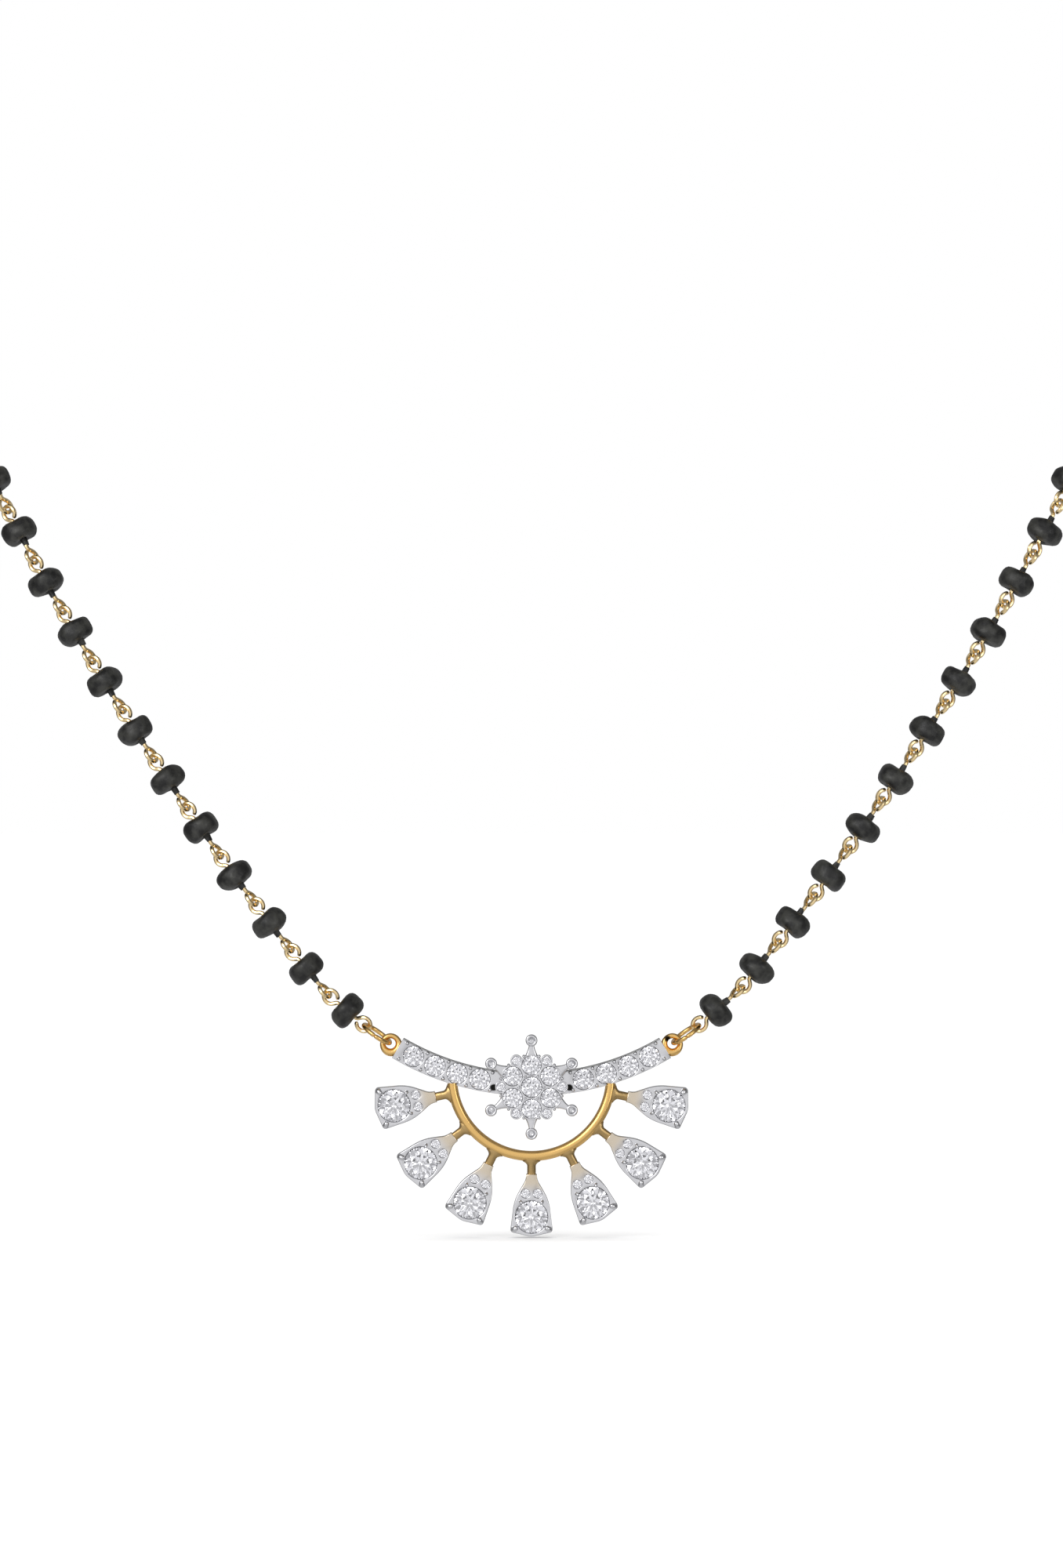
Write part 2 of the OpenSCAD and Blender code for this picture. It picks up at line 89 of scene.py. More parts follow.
# The rounding of the plates' edges and of the seats' lips
BAR_BEVEL, PEAR_BEVEL, CLUSTER_BEVEL = 0.03, 0.06, 0.03
BAR_LIP, PEAR_LIP, ACCENT_LIP, CLUSTER_LIP = 0.025, 0.03, 0.02, 0.015

# The prongs: how deep they go into the metal, how far they stand over it, the share of their
# diameter that is domed, how far they stay clear of their stone and lie in from the bar's edge
PRONG_ROOT, PRONG_RISE, PRONG_DOME, PRONG_CLEAR, BAR_PRONG_INSET = 0.2, 0.18, 0.62, 0.05, 0.04
# The pears' claws: the corner ones' root, lean and share that stands out over the rim, the inner
# ones' lean, and how high all of them rise
CORNER_ROOT, CORNER_LEAN, CORNER_PLACE, INNER_LEAN, CLAW_RISE = 0.6, 0.16, 0.33, 0.1, 0.2
# A claw's bend, as shares of its lean and its rise, and its tip's share of the diameter
CLAW_BEND, CLAW_TIP = [(0, 0), (0, 0.45), (0.35, 0.8), (1, 1)], 0.85

# How square the sections are, where 2 is an ellipse
ARC_POWER, STEM_POWER, ARM_POWER = 2.4, 2.6, 4

# Sides of the sections and of the turned pieces, and steps along the curves
ARC_SIDES, ARC_STEPS, ROD_SIDES, STEM_STEPS, EYELET_SIDES, EYELET_WIRE_SIDES = 28, 140, 20, 14, 40, 16
BAR_STEPS, PEAR_END_STEPS, HEAD_SIDES, TIP_SIDES, RECESS_SIDES, PRONG_SIDES = 110, 50, 240, 28, 24, 14
BEAD_SIDES, SLEEVE_SIDES, PIN_SIDES, RING_SIDES, CLASP_SIDES, CLASP_LOOP_SIDES = 20, 12, 8, 12, 40, 32
BEVEL_STEPS, QUARTER_STEPS, EDGE_STEPS, CLASP_STEPS, RIM_STEPS = 4, 5, 6, 7, 9

# Angles on the pendant's front in degrees, from +X
UP, DOWN = 90, 270
# The pears by number, the one that hangs straight down and the angle between neighbours
PEARS, MIDDLE_PEAR, RAY_STEP = np.arange(1, 8), 4, 26
# The cluster's petals by number, the angle between neighbours and from the notches to the petals
PETALS, PETAL_STEP, PETAL_TURN = np.arange(1, 7), 60.0, 30
# Angles from the axis of a pear or a petal to its prongs
CORNER_PRONG_ANGLE, INNER_PRONG_ANGLE, PETAL_PRONG_ANGLE = 55, 145, 40
# Stones on each side of the bar
BAR_STONES_SIDE = 4

# Half the stems' depth at both ends, as shares of the arc's thickness and of their own
STEM_DEPTHS = (0.42, 0.4)
# Shares of an arm's width from its root to its tip, and how far it lies below the head's front
ARM_FLARE, ARM_DROP = (2.5, 1.9, 1.4, 1.1, 1.0, 0.95), 0.08
# A pear setting's outline from its neck: place as a share of the pear's length, half width
# as a share of the radius round the main stone
PEAR_SECTIONS = [(0.0, 0.276), (0.15, 0.3), (0.32, 0.53), (0.55, 0.81), (0.76, 0.945)]
PEAR_END_FROM = 98

# From the arc's middle: where the painted warm reflection on the settings' necks starts to fade,
# and where the plain plate is full
PAINTED_REFLECTION_REACH = (7.2, 8.2)
# How far below the bar's upper edge its painted shade, a grey band, starts to fade and ends
EDGE_SHADE_REACH = (0.07, 0.16)

# Where the solder thickens the right eyelet in degrees, and by how much, and its painted shade:
# from the arc's middle, with the distances at which it starts to thin out and ends
EYELET_SOLDER_ANGLE, EYELET_SOLDER = 250, 0.1
PAINTED_SHADE_AT, PAINTED_SHADE_REACH = (9.4, 2.61), (0.13, 0.32)

# The hollows of the bar on both sides of the cluster, each floored with a dark disc of painted shade
RECESS_X, RECESS_Y, RECESS_R, RECESS_DEPTH, RECESS_LIP = 2.62, -0.76, 0.22, 0.14, 0.04

# The right strand's route from the eyelet to the nape: outwards, backwards and upwards. The
# last point lies on the middle plane, behind the neck.
STRAND_ROUTE = [
    (0, 0, 0), (3.2, 0, 2.3), (8.4, 0.5, 8.4), (15.6, 1.5, 18.4), (22.2, 3, 28.8),
    (27.2, 4.5, 37.8), (33, 8.5, 51), (38.5, 15, 64), (43, 25, 77), (46.5, 39, 88.5),
    (46, 57, 99), (40, 74.5, 106), (28, 88.5, 110), (11, 98, 112),
]
ROUTE_END, ROUTE_STEPS = (101, 112.5), 16
PINS, PIN_ROLL, JUMP_ROLL, LINK_GAP = 50, 20, 8, 0.12
# Angles at which the pins' loops and the jump rings start and end, and their steps, and where a
# pin starts and ends its bend into the loop
LOOP_ARC, JUMP_ARC, PIN_BEND = (208, 505, 22), (100, 447, 64), (0.35, 0.12)
# The black sleeve on each pin: inner and outer radius, where it starts, from the bead's middle,
# and how far it stands out of the bead
SLEEVE_INNER, SLEEVE_OUTER, SLEEVE_START, SLEEVE_L = 0.16, 0.25, 0.2, 0.42
# Turns of the beads' unevenness, in radians to the millimetre
BEAD_WAVES = 4.4

# Smooth edges are broken where faces meet at more than this many degrees
CREASE = 35
# The rings of a wire's rounded end, as shares of a half turn, and the middle of a seat's rounded
# lip, as a share of the lip
WIRE_END, LIP_CUT = (0.5, 0.33, 0.17), 0.3
# The least distance between two points of a plate, and the slack in finding a hole's triangles
NEAR, SLACK = 1e-6, 1.001


def hex_colour(code):
    """An sRGB hex code as linear red, green, blue and alpha, by the piecewise sRGB curve."""
    rgb = np.array([int(code[i : i + 2], 16) for i in (1, 3, 5)]) / 255
    linear = np.where(rgb <= 0.04045, rgb / 12.92, ((rgb + 0.055) / 1.055) ** 2.4)
    return (*linear.tolist(), 1.0)


def length(name, description, millimetres):
    """A length that a user may change, shown in Blender's own unit."""
    return FloatProperty(
        name=name, description=description, default=millimetres * MM, min=0.0, unit="LENGTH", precision=5
    )


def share(name, description, value):
    """A share from 0 to 1 that a user may change."""
    return FloatProperty(
        name=name, description=description, default=value, min=0, max=1, subtype="FACTOR"
    )


def colour(name, description, code):
    """A colour that a user may change."""
    return FloatVectorProperty(
        name=name, description=description, default=hex_colour(code), size=4, min=0, max=1, subtype="COLOR"
    )


class PendantSizes(bpy.types.PropertyGroup):
    """Sizes of the pendant's bar, arc and pear settings."""

    bar_curve_r: length("Bar curve", "Radius of the bar's centreline from the front", 18.2)
    bar_drop: length("Bar drop", "From the arc's middle down to the middle of the bar", 0.54)
    bar_h: length("Bar height", "Height of the bar", 1.6)
    bar_t: length("Bar thickness", "Thickness of the bar from front to back", 0.85)
    bar_stone_d: length("Bar stone", "Diameter of each bar stone", 1.42)
    bar_stone_pitch: length("Bar stone pitch", "Between neighbouring bar stones", 1.62)
    bar_stone_start: length("First bar stone", "From the bar's middle to its first stone", 3.6)
    bar_end_l: length("Bar end", "From the last stone's middle to the bar's end", 1.23)
    bar_prong_d: length("Bar prong", "Diameter of the bar's prongs", 0.3)
    eyelet_bore: length("Eyelet bore", "Inner diameter of the end eyelets", 0.7)
    eyelet_wire: length("Eyelet wire", "Thickness of the eyelets' wire", 0.36)
    eyelet_back: length("Eyelet setback", "How far the eyelets lie behind the arc's middle", 0.1)
    arc_r: length("Arc radius", "Radius of the gold arc's centreline", 5.5)
    arc_w: length("Arc width", "Width of the arc from the front", 0.72)
    arc_t: length("Arc thickness", "Thickness of the arc from front to back", 0.9)
    stem_l: length("Stem length", "Length of each stem outside the arc", 0.9)
    stem_w: length("Stem width", "Width of each stem", 0.6)
    stem_t: length("Stem thickness", "Thickness of each stem", 0.5)
    stem_gusset: length("Stem gusset", "Size of the gussets where a stem meets the arc", 0.32)
    pear_l: length("Pear length", "From the neck's end to the middle of the main stone", 2.95)
    pear_t: length("Pear thickness", "Thickness of each setting", 1.15)
    pear_stone_d: length("Pear stone", "Diameter of the main stone", 2.24)
    pear_rim: length("Pear rim", "Width of the metal round the main stone", 0.22)
    accent_d: length("Accent stone", "Diameter of the two small stones", 0.6)
    accent_gap: length("Accent gap", "Width of the metal between the two small stones", 0.24)
    accent_wall: length("Accent wall", "Metal between the main stone and a small stone", 0.2)
    corner_prong_d: length("Corner prong", "Diameter of the corner prongs", 0.46)
    inner_prong_d: length("Inner prong", "Diameter of the inner prongs", 0.28)


class ClusterSizes(bpy.types.PropertyGroup):
    """Sizes of the six-armed cluster."""

    cluster_drop: length("Cluster drop", "From the bar's middle down to the cluster's", 0.16)
    centre_stone_d: length("Centre stone", "Diameter of the centre stone", 1.4)
    petal_stone_d: length("Petal stone", "Diameter of the six stones round it", 1.32)
    petal_r: length("Petal radius", "From the centre to each of the six stones", 1.5)
    notch_stone_d: length("Notch stone", "Diameter of the six small stones", 0.6)
    notch_r: length("Notch radius", "From the centre to each small stone", 2.1)
    cluster_rim: length("Cluster rim", "Width of the metal round the outer stones", 0.11)
    cluster_t: length("Cluster thickness", "Thickness of the cluster", 0.9)
    tip_r: length("Tip radius", "From the centre to each tip", 3.22)
    tip_d: length("Tip diameter", "Diameter of each tip", 0.82)
    tip_hollow_d: length("Tip hollow", "Diameter of the hollow in each tip", 0.4)
    arm_w: length("Arm width", "Width of the arms that carry the tips", 0.36)
    arm_t: length("Arm thickness", "Thickness of the arms", 0.46)
    cluster_prong_d: length("Cluster prong", "Diameter of the prongs", 0.22)


class ChainSizes(bpy.types.PropertyGroup):
    """Sizes of the beads, pins, rings and clasp."""

    bead_d: length("Bead diameter", "Diameter of each bead", 2.5)
    bead_l: length("Bead length", "Length of each bead along the chain", 1.45)
    bead_edge: length("Bead edge", "Rounding of the bead's edges", 0.58)
    bead_unevenness: length("Bead unevenness", "How far the beads' surface wanders", 0.05)
    dimple_d: length("Dimple", "Diameter of the dimple round the bead's hole", 0.9)
    dimple_depth: length("Dimple depth", "Depth of the dimple", 0.14)
    bead_gap: length("Bead gap", "Gap between a bead and its pin", 0.1)
    pin_wire: length("Pin wire", "Thickness of the pin's wire", 0.3)
    pin_loop_bore: length("Pin loop", "Inner diameter of the pin's loops", 0.7)
    pin_neck: length("Pin neck", "Length of the pin between its bead and second loop", 0.65)
    jump_bore: length("Jump ring bore", "Inner diameter of the jump rings", 1.84)
    jump_wire: length("Jump ring wire", "Thickness of the jump rings' wire", 0.32)
    clasp_d: length("Clasp diameter", "Diameter of the clasp's barrel", 2.8)
    clasp_l: length("Clasp length", "Length of the clasp's barrel", 8)
    clasp_bevel: length("Clasp bevel", "Size of the bevels at the barrel's ends", 0.7)
    clasp_wire: length("Clasp wire", "Thickness of the clasp loops' wire", 0.4)
    clasp_bore: length("Clasp loop", "Inner diameter of the clasp's loops", 0.84)


class Finishes(bpy.types.PropertyGroup):
    """Colours and finishes of the metals, stones and beads."""

    gold_colour: colour("Gold", "Colour of the yellow gold", "#f7ca7e")
    gold_roughness: share("Gold roughness", "Roughness of the polished gold", 0.2)
    # Painted shade: the darker gold of the stems
    stem_shade_colour: colour("Stems", "Colour of the gold between the arc and the settings", "#c2a36e")
    # Painted highlight: the wire's paler colour
    wire_highlight_colour: colour("Wire", "Colour of the thin gold wire of the chain", "#ffe4ae")
    # Painted shade: the near black patch on the right eyelet at the bar's corner
    painted_shade_colour: colour("Solder stain", "Colour of the stained solder on the right eyelet", "#1c160c")
    rhodium_colour: colour("Rhodium", "Colour of the rhodium plate", "#e2e2e4")
    rhodium_roughness: share("Rhodium roughness", "Roughness of the bright plate", 0.14)
    # Painted reflection: the warm pale colour on the settings' necks
    painted_reflection_colour: colour("Thin plate", "Colour of the plate where gold shows through", "#e2d5c0")
    # Painted shade: the grey band along the bar's upper edge
    edge_shade_colour: colour("Bar edge", "Colour of the bar's upper edge", "#a2a2a1")
    # Painted shade: the dark discs in the bar's hollows beside the cluster
    recess_shade_colour: colour("Recess", "Colour of the unpolished recesses", "#2b2b29")
    recess_roughness: share("Recess roughness", "Roughness of the unpolished recesses", 0.6)
    diamond_colour: colour("Diamond", "Tint of the stones", "#fbfbff")
    bead_colour: colour("Bead glass", "Colour of the black glass", "#0f0f0e")
    # The glass turns to this colour on the raised parts of its waves
    raised_patch_colour: colour("Bead dust", "Colour of the paler patches on the beads", "#33332f")
    bead_roughness: share("Bead roughness", "Roughness of the tumbled glass", 0.42)


class Surface:
    """Points in millimetres and the polygons between them, one array for each number of corners."""

    def __init__(self, points, *faces):
        self.points = np.asarray(points, float).reshape(-1, 3)
        self.faces = [np.asarray(f, int) for f in faces if len(f)]


def joined(surfaces):
    """One surface from several: each one's polygons count on from the points before it."""
    points, faces, count = [], [], 0
    for surface in surfaces:
        points.append(surface.points)
        faces += [f + count for f in surface.faces]
        count += len(surface.points)
    return Surface(np.vstack(points), *faces)


def repeated(surface, turns, places):
    """A copy in each frame: point = place + turn times point, for all the frames at once."""
    points = np.einsum("kij,nj->kni", turns, surface.points) + places[:, None]
    shift = (len(surface.points) * np.arange(len(turns)))[:, None, None]
    return Surface(points, *[(f + shift).reshape(-1, f.shape[1]) for f in surface.faces])


def moved(surface, x=0.0, y=0.0, z=0.0):
    """The surface shifted: point plus (x, y, z)."""
    return Surface(surface.points + (x, y, z), *surface.faces)


def reordered(surface, matrix):
    """The surface turned by a matrix of axes: point = matrix times point."""
    return Surface(surface.points @ np.array(matrix, float).T, *surface.faces)


# Turns that lay +Z along +X, a flat path's plane (x, y) into (x, z), and a path back to front
Z_TO_X = [(0, 0, 1), (0, 1, 0), (-1, 0, 0)]
Y_TO_Z = [(1, 0, 0), (0, 0, -1), (0, 1, 0)]
TURN_BACK = [(-1, 0, 0), (0, -1, 0), (0, 0, 1)]


def round_angles(count):
    """Angles at even steps, once round."""
    return np.arange(count) * 2 * np.pi / count


def polar(radius, angle, *height):
    """Points at a radius and an angle, and at a height if it is given: (r cos a, r sin a, height)."""
    flat = radius * np.cos(angle), radius * np.sin(angle)
    return np.stack(np.broadcast_arrays(*flat, *height), -1)


def grid(points, close_rows=False, close_columns=False):
    """Quads on a rows by columns array of points. They face across the columns, then up the rows."""
    rows, columns = points.shape[:2]
    index = np.arange(rows * columns).reshape(rows, columns)
    if close_rows:
        index = np.vstack([index, index[:1]])
    if close_columns:
        index = np.hstack([index, index[:, :1]])
    quads = np.stack([index[:-1, :-1], index[:-1, 1:], index[1:, 1:], index[1:, :-1]], -1)
    return Surface(points, quads.reshape(-1, 4))


def welded(surface, step=1e-4, shift=0.37):
    """Points in one step of each other become one, and a quad that loses a side a triangle. The
    shift keeps round numbers off the borders between steps."""
    keys = np.floor(surface.points / step + shift).astype(np.int64)
    _, first, inverse = np.unique(keys, axis=0, return_index=True, return_inverse=True)
    inverse, faces = inverse.reshape(-1), []
    for corners in surface.faces:
        corners = inverse[corners]
        lost = corners == np.roll(corners, -1, 1)
        faces.append(corners[~lost.any(1)])
        if corners.shape[1] == 4:
            one_lost = lost.sum(1) == 1
            faces += [np.delete(corners[lost[:, k] & one_lost], k, 1) for k in range(4)]
    return Surface(surface.points[first], *faces)


def turned(profile, sides, closed=False):
    """A profile of (radius, height) turned round +Z: x = radius cos a, y = radius sin a. It runs
    upwards on the outside, and an end on the axis becomes a pole."""
    profile = np.asarray(profile, float)
    points = polar(profile[:, :1], round_angles(sides), profile[:, 1:])
    return welded(grid(points, close_rows=closed, close_columns=True))


def wire(path, radius, sides):
    """A round wire along a flat path: point = path + radius (cos a times the path's left side
    + sin a times +Z). Its ends are rounded over: radius cos t, at radius sin t past the end."""
    path = np.asarray(path, float)
    along = np.gradient(path, axis=0)
    along /= np.linalg.norm(along, axis=1, keepdims=True)
    end = np.array(WIRE_END) * np.pi
    t = np.concatenate([-end, np.zeros(len(path)), end[::-1]])[:, None]
    at = np.clip(np.arange(len(t)) - len(end), 0, len(path) - 1)
    radius, along = np.broadcast_to(radius, len(path))[at, None], along[at]
    centres = path[at] + along * radius * np.sin(t)
    left = np.stack([-along[:, 1], along[:, 0]], -1)[:, None]
    section = polar(radius * np.cos(t), round_angles(sides))
    flat = centres[:, None] + left * section[..., :1]
    return welded(grid(np.concatenate([flat, section[..., 1:]], -1), close_columns=True))


def tube(rings):
    """A skin through rings of points, with flat ends: the first and the last ring shrink to their
    middles."""
    middles = rings.mean(1, keepdims=True) + 0 * rings
    return welded(grid(np.concatenate([middles[:1], rings, middles[-1:]]), close_columns=True))


def rounded(path, passes=2):
    """Corner cutting: each pass keeps a path's ends and puts points at 1/4 and 3/4 of each step."""
    path = np.asarray(path, float)
    for _ in range(passes):
        cut = np.stack([0.75 * path[:-1] + 0.25 * path[1:], 0.25 * path[:-1] + 0.75 * path[1:]], 1)
        path = np.vstack([path[:1], cut.reshape(-1, path.shape[1])[1:-1], path[-1:]])
    return path


def arc_points(radius, start, end, count, centre=(0.0, 0.0)):
    """Points on a circle's arc: centre + radius (cos a, sin a), for angles in degrees."""
    return polar(radius, np.radians(np.linspace(start, end, count))) + centre


def quarter(width, height):
    """A quarter of an ellipse: (width cos t, height sin t)."""
    return arc_points(1, 0, 90, QUARTER_STEPS) * (width, height)


def squared_round(half_width, half_thickness, power, count):
    """A closed section between a circle and a rectangle: |x / w| ^ power + |y / t| ^ power = 1."""
    c, s = polar(1, round_angles(count)).T
    return (
        half_width * np.sign(c) * np.abs(c) ** (2 / power),
        half_thickness * np.sign(s) * np.abs(s) ** (2 / power),
    )


def tapered(x, half_width, half_thickness, power):
    """A bar along +X through squared round sections, with flat ends."""
    across, up = squared_round(half_width[:, None], half_thickness[:, None], power, ROD_SIDES)
    return tube(np.stack([x[:, None] + 0 * across, across, up], -1))


def cap(outline, holes, height, facing_front):
    """Triangles that fill a flat outline round its holes, at one height. A triangle belongs to a
    hole if no corner lies outside the hole's circle."""
    edges, count = [], 0
    for ring in (outline, *holes):
        index = np.arange(len(ring)) + count
        edges.append(np.stack([index, np.roll(index, -1)], 1))
        count += len(ring)
    points = [Vector(p) for p in np.vstack([outline, *holes]).tolist()]
    out = delaunay_2d_cdt(points, np.vstack(edges).tolist(), [], 1, NEAR)
    flat, triangles = np.array([p[:] for p in out[0]]), np.array(out[2])
    corners = flat[triangles]
    keep = np.ones(len(triangles), bool)
    for hole in holes:
        centre = hole.mean(0)
        reach = np.linalg.norm(corners - centre, axis=2).max(1)
        keep &= reach > np.linalg.norm(hole[0] - centre) * SLACK
    (ux, uy), (vx, vy) = (corners[:, 1] - corners[:, 0]).T, (corners[:, 2] - corners[:, 0]).T
    wrong = (ux * vy - uy * vx > 0) != facing_front
    triangles[wrong] = triangles[wrong][:, ::-1]
    return Surface(np.column_stack([flat, np.full(len(flat), height)]), triangles[keep])


def hull_of_circles(circles, angles):
    """The outline round several circles: in each direction u the circle whose c.u + radius is
    the largest gives the point c + radius u."""
    circles = np.asarray(circles, float)
    u = polar(1, angles)
    outermost = np.argmax(u @ circles[:, :2].T + circles[:, 2], axis=1)
    return circles[outermost, :2] + circles[outermost, 2:] * u


def circle_at(centre, radius):
    """The points of a seat's circle, at the same angles as the seat's own."""
    return polar(radius, round_angles(SEAT_SIDES)) + centre


def plate(outline, seats, back, front, bevel):
    """A flat plate with rounded edges: its outline, drawn in by bevel (1 - sin t) and rising by
    bevel (1 - cos t), and each seat's profile turned inside a hole of the two faces. A seat is
    (centre, profile), and its profile starts at the front face and ends at the back or a pole."""
    step = np.roll(outline, -1, 0) - np.roll(outline, 1, 0)
    outwards = np.stack([step[:, 1], -step[:, 0]], -1)
    outwards /= np.linalg.norm(outwards, axis=1, keepdims=True)
    t = np.linspace(0, np.pi / 2, BEVEL_STEPS)
    inset = bevel * np.concatenate([1 - np.sin(t), 1 - np.cos(t)])
    height = np.concatenate([back + bevel * (1 - np.cos(t)), front - bevel * (1 - np.sin(t))])
    rings = outline - inset[:, None, None] * outwards
    wall = grid(np.dstack([rings, height[:, None] + 0 * rings[..., 0]]), close_columns=True)
    mouths = [circle_at(c, p[0][0]) for c, p in seats]
    backs = [circle_at(c, p[-1][0]) for c, p in seats if p[-1][0] > 0]
    cups = [moved(turned(p, SEAT_SIDES), *c) for c, p in seats]
    faces = [cap(rings[-1], mouths, front, True), cap(rings[0], backs, back, False)]
    return welded(joined([wall, *faces, *cups]))


def seat_profile(diameter, front, back, lip):
    """A stone's seat from the front: a rounded lip, a straight wall, a cone and an open back."""
    r, cut = diameter / 2, LIP_CUT * lip
    wall, hole = r + SEAT_GAP, SEAT_HOLE * r
    shoulder = front - GIRDLE_DEPTH - GIRDLE * r - SEAT_GAP
    return [
        (wall + lip, front), (wall + cut, front - cut), (wall, front - lip),
        (wall, shoulder), (hole, shoulder - (wall - hole) * PAVILION), (hole, back),
    ]


def dome(diameter):
    """A bead prong on z = 0: straight sides under half an ellipsoid of revolution."""
    r, shoulder = diameter / 2, PRONG_RISE - PRONG_DOME * diameter
    crown = quarter(r, PRONG_RISE - shoulder) + (0, shoulder)
    return turned([(0, -PRONG_ROOT), (r, -PRONG_ROOT), *crown], PRONG_SIDES)


def claw(diameter, root, lean):
    """A prong that bends over a stone along -X: a wire whose path is straight, then leans in, and
    whose radius falls a little towards the tip."""
    path = rounded([(0, -root), *(np.array(CLAW_BEND) * (-lean, CLAW_RISE))])
    taper = np.interp(path[:, 1], [0, CLAW_RISE], [1, CLAW_TIP])
    return reordered(wire(path, diameter / 2 * taper, PRONG_SIDES), Y_TO_Z)


def brilliant(diameter):
    """A round brilliant of 57 facets and a polished girdle. Bezel and main facets are planes:
    height = girdle + crown (1 - x) / (1 - table), and -girdle - pavilion (1 - x), where x is a
    point's share of the radius along the facet's own direction."""
    main = round_angles(MAIN_FACETS)
    between = main + np.pi / MAIN_FACETS
    lean = math.cos(math.pi / MAIN_FACETS)
    star = GIRDLE + CROWN * (1 - STAR_REACH * lean) / (1 - TABLE)
    lower = -GIRDLE - PAVILION * (1 - LOWER_REACH * lean)
    points = np.vstack([
        polar(TABLE, main, GIRDLE + CROWN), polar(STAR_REACH, between, star),
        polar(1, main, GIRDLE), polar(1, between, GIRDLE), polar(1, main, -GIRDLE),
        polar(1, between, -GIRDLE), polar(LOWER_REACH, between, lower), [(0, 0, -GIRDLE - PAVILION)],
    ])
    i = np.arange(MAIN_FACETS)
    j, h = (i + 1) % MAIN_FACETS, (i - 1) % MAIN_FACETS
    # The first points of the table, of the stars, of the girdle's upper edge (main and between),
    # of its lower edge and of the pavilion, in the order of the points
    t, s, g, m, b, d, p = (MAIN_FACETS * k for k in range(7))
    culet = 0 * i + len(points) - 1
    triangles = [
        (t + i, s + i, t + j), (s + i, g + i, m + i), (s + i, m + i, g + j),
        (p + i, d + i, b + i), (p + i, b + j, d + i),
    ]
    quads = [
        (t + i, s + h, g + i, s + i), (g + i, b + i, d + i, m + i),
        (m + i, d + i, b + j, g + j), (b + i, p + h, culet, p + i),
    ]
    sides = [np.vstack([np.stack(f, -1) for f in facets]) for facets in (triangles, quads)]
    return Surface(points * diameter / 2, *sides, [i + t])


def add_node(tree, kind, inputs=None, links=None, **settings):
    """Adds a node: its settings, its input values by name, and links from (node, output) pairs."""
    node = tree.nodes.new(kind)
    for key, value in settings.items():
        setattr(node, key, value)
    for key, value in (inputs or {}).items():
        node.inputs[key].default_value = value
    for key, (source, output) in (links or {}).items():
        tree.links.new(source.outputs[output], node.inputs[key])
    return node


def new_material(name, values):
    """A material of one surface shader with its values. Gives it, its tree, the shader and its
    coordinates."""
    material = bpy.data.materials.new(name)
    material.use_nodes = True
    tree = material.node_tree
    tree.nodes.clear()
    shader = add_node(tree, "ShaderNodeBsdfPrincipled", values)
    add_node(tree, "ShaderNodeOutputMaterial", links={"Surface": (shader, "BSDF")})
    return material, tree, shader, add_node(tree, "ShaderNodeTexCoord")


# A noise's usual least and greatest value, and the details of the waves and of the marks
NOISE_SPAN, DETAILS = (0.3, 0.7), (2.0, 3.0)
# The relief of waves and marks by strength and depth in millimetres, and the least and greatest
# roughness as shares of the middle one. The glass also has the sizes of its waves and marks.
METAL_WAVES, METAL_MARKS, METAL_SPREAD = (0.12, 0.05), (0.05, 0.01), (0.7, 1.4)
GLASS_WAVES, GLASS_MARKS, GLASS_SPREAD = (0.7, 0.5, 0.12), (0.08, 0.25, 0.02), (0.8, 1.2)


def worked_material(name, values, roughness, spread, waves, marks):
    """A material as its making left it: broad waves under fine marks, each by its size in
    millimetres, its strength and its depth in millimetres, and a roughness that follows the
    marks. Gives what new_material gives, and the waves."""
    material, tree, shader, place = new_material(name, values)
    noises, under = [], {}
    for detail, (size, strength, depth) in zip(DETAILS, (waves, marks)):
        noise = add_node(
            tree, "ShaderNodeTexNoise", {"Scale": 1 / (size * MM), "Detail": detail},
            {"Vector": (place, "Object")},
        )
        bump = add_node(
            tree, "ShaderNodeBump", {"Strength": strength, "Distance": depth * MM},
            {"Height": (noise, "Fac"), **under},
        )
        noises.append(noise)
        under = {"Normal": (bump, "Normal")}
    least, greatest = (share_of * roughness for share_of in spread)
    rough = add_node(
        tree, "ShaderNodeMapRange",
        {"From Min": NOISE_SPAN[0], "From Max": NOISE_SPAN[1], "To Min": least, "To Max": greatest},
        {"Value": (noises[1], "Fac")},
    )
    tree.links.new(rough.outputs["Result"], shader.inputs["Roughness"])
    tree.links.new(bump.outputs["Normal"], shader.inputs["Normal"])
    return material, tree, shader, place, noises[0]


def polished_metal(name, base, roughness, waves_mm, marks_mm):
    """A cast and polished metal: broad soft waves left by the buff, and fine buffing marks."""
    return worked_material(
        name, {"Base Color": base, "Metallic": 1.0}, roughness, METAL_SPREAD,
        (waves_mm, *METAL_WAVES), (marks_mm, *METAL_MARKS),
    )


def ringed_metal(name, base, roughness, marks, other, centre, reach):
    """A polished metal whose colour turns from another one to its own between two distances from
    an axis through the pendant, which lies at a centre (right, up) from the arc's middle."""
    material, tree, shader, place, _ = polished_metal(name, base, roughness, *marks)
    axis = (PENDANT_AT + (centre[0], 0, centre[1])) * (MM, 0, MM)
    flat = add_node(
        tree, "ShaderNodeVectorMath", {1: (1, 0, 1)}, {0: (place, "Object")}, operation="MULTIPLY"
    )
    away = add_node(
        tree, "ShaderNodeVectorMath", {1: axis}, {0: (flat, "Vector")}, operation="DISTANCE"
    )
    own = add_node(
        tree, "ShaderNodeMapRange", {"From Min": reach[0] * MM, "From Max": reach[1] * MM},
        {"Value": (away, "Value")}, interpolation_type="SMOOTHSTEP",
    )
    tone = add_node(
        tree, "ShaderNodeMix", {"A": other, "B": base}, {"Factor": (own, "Result")}, data_type="RGBA"
    )
    tree.links.new(tone.outputs["Result"], shader.inputs["Base Color"])
    return material


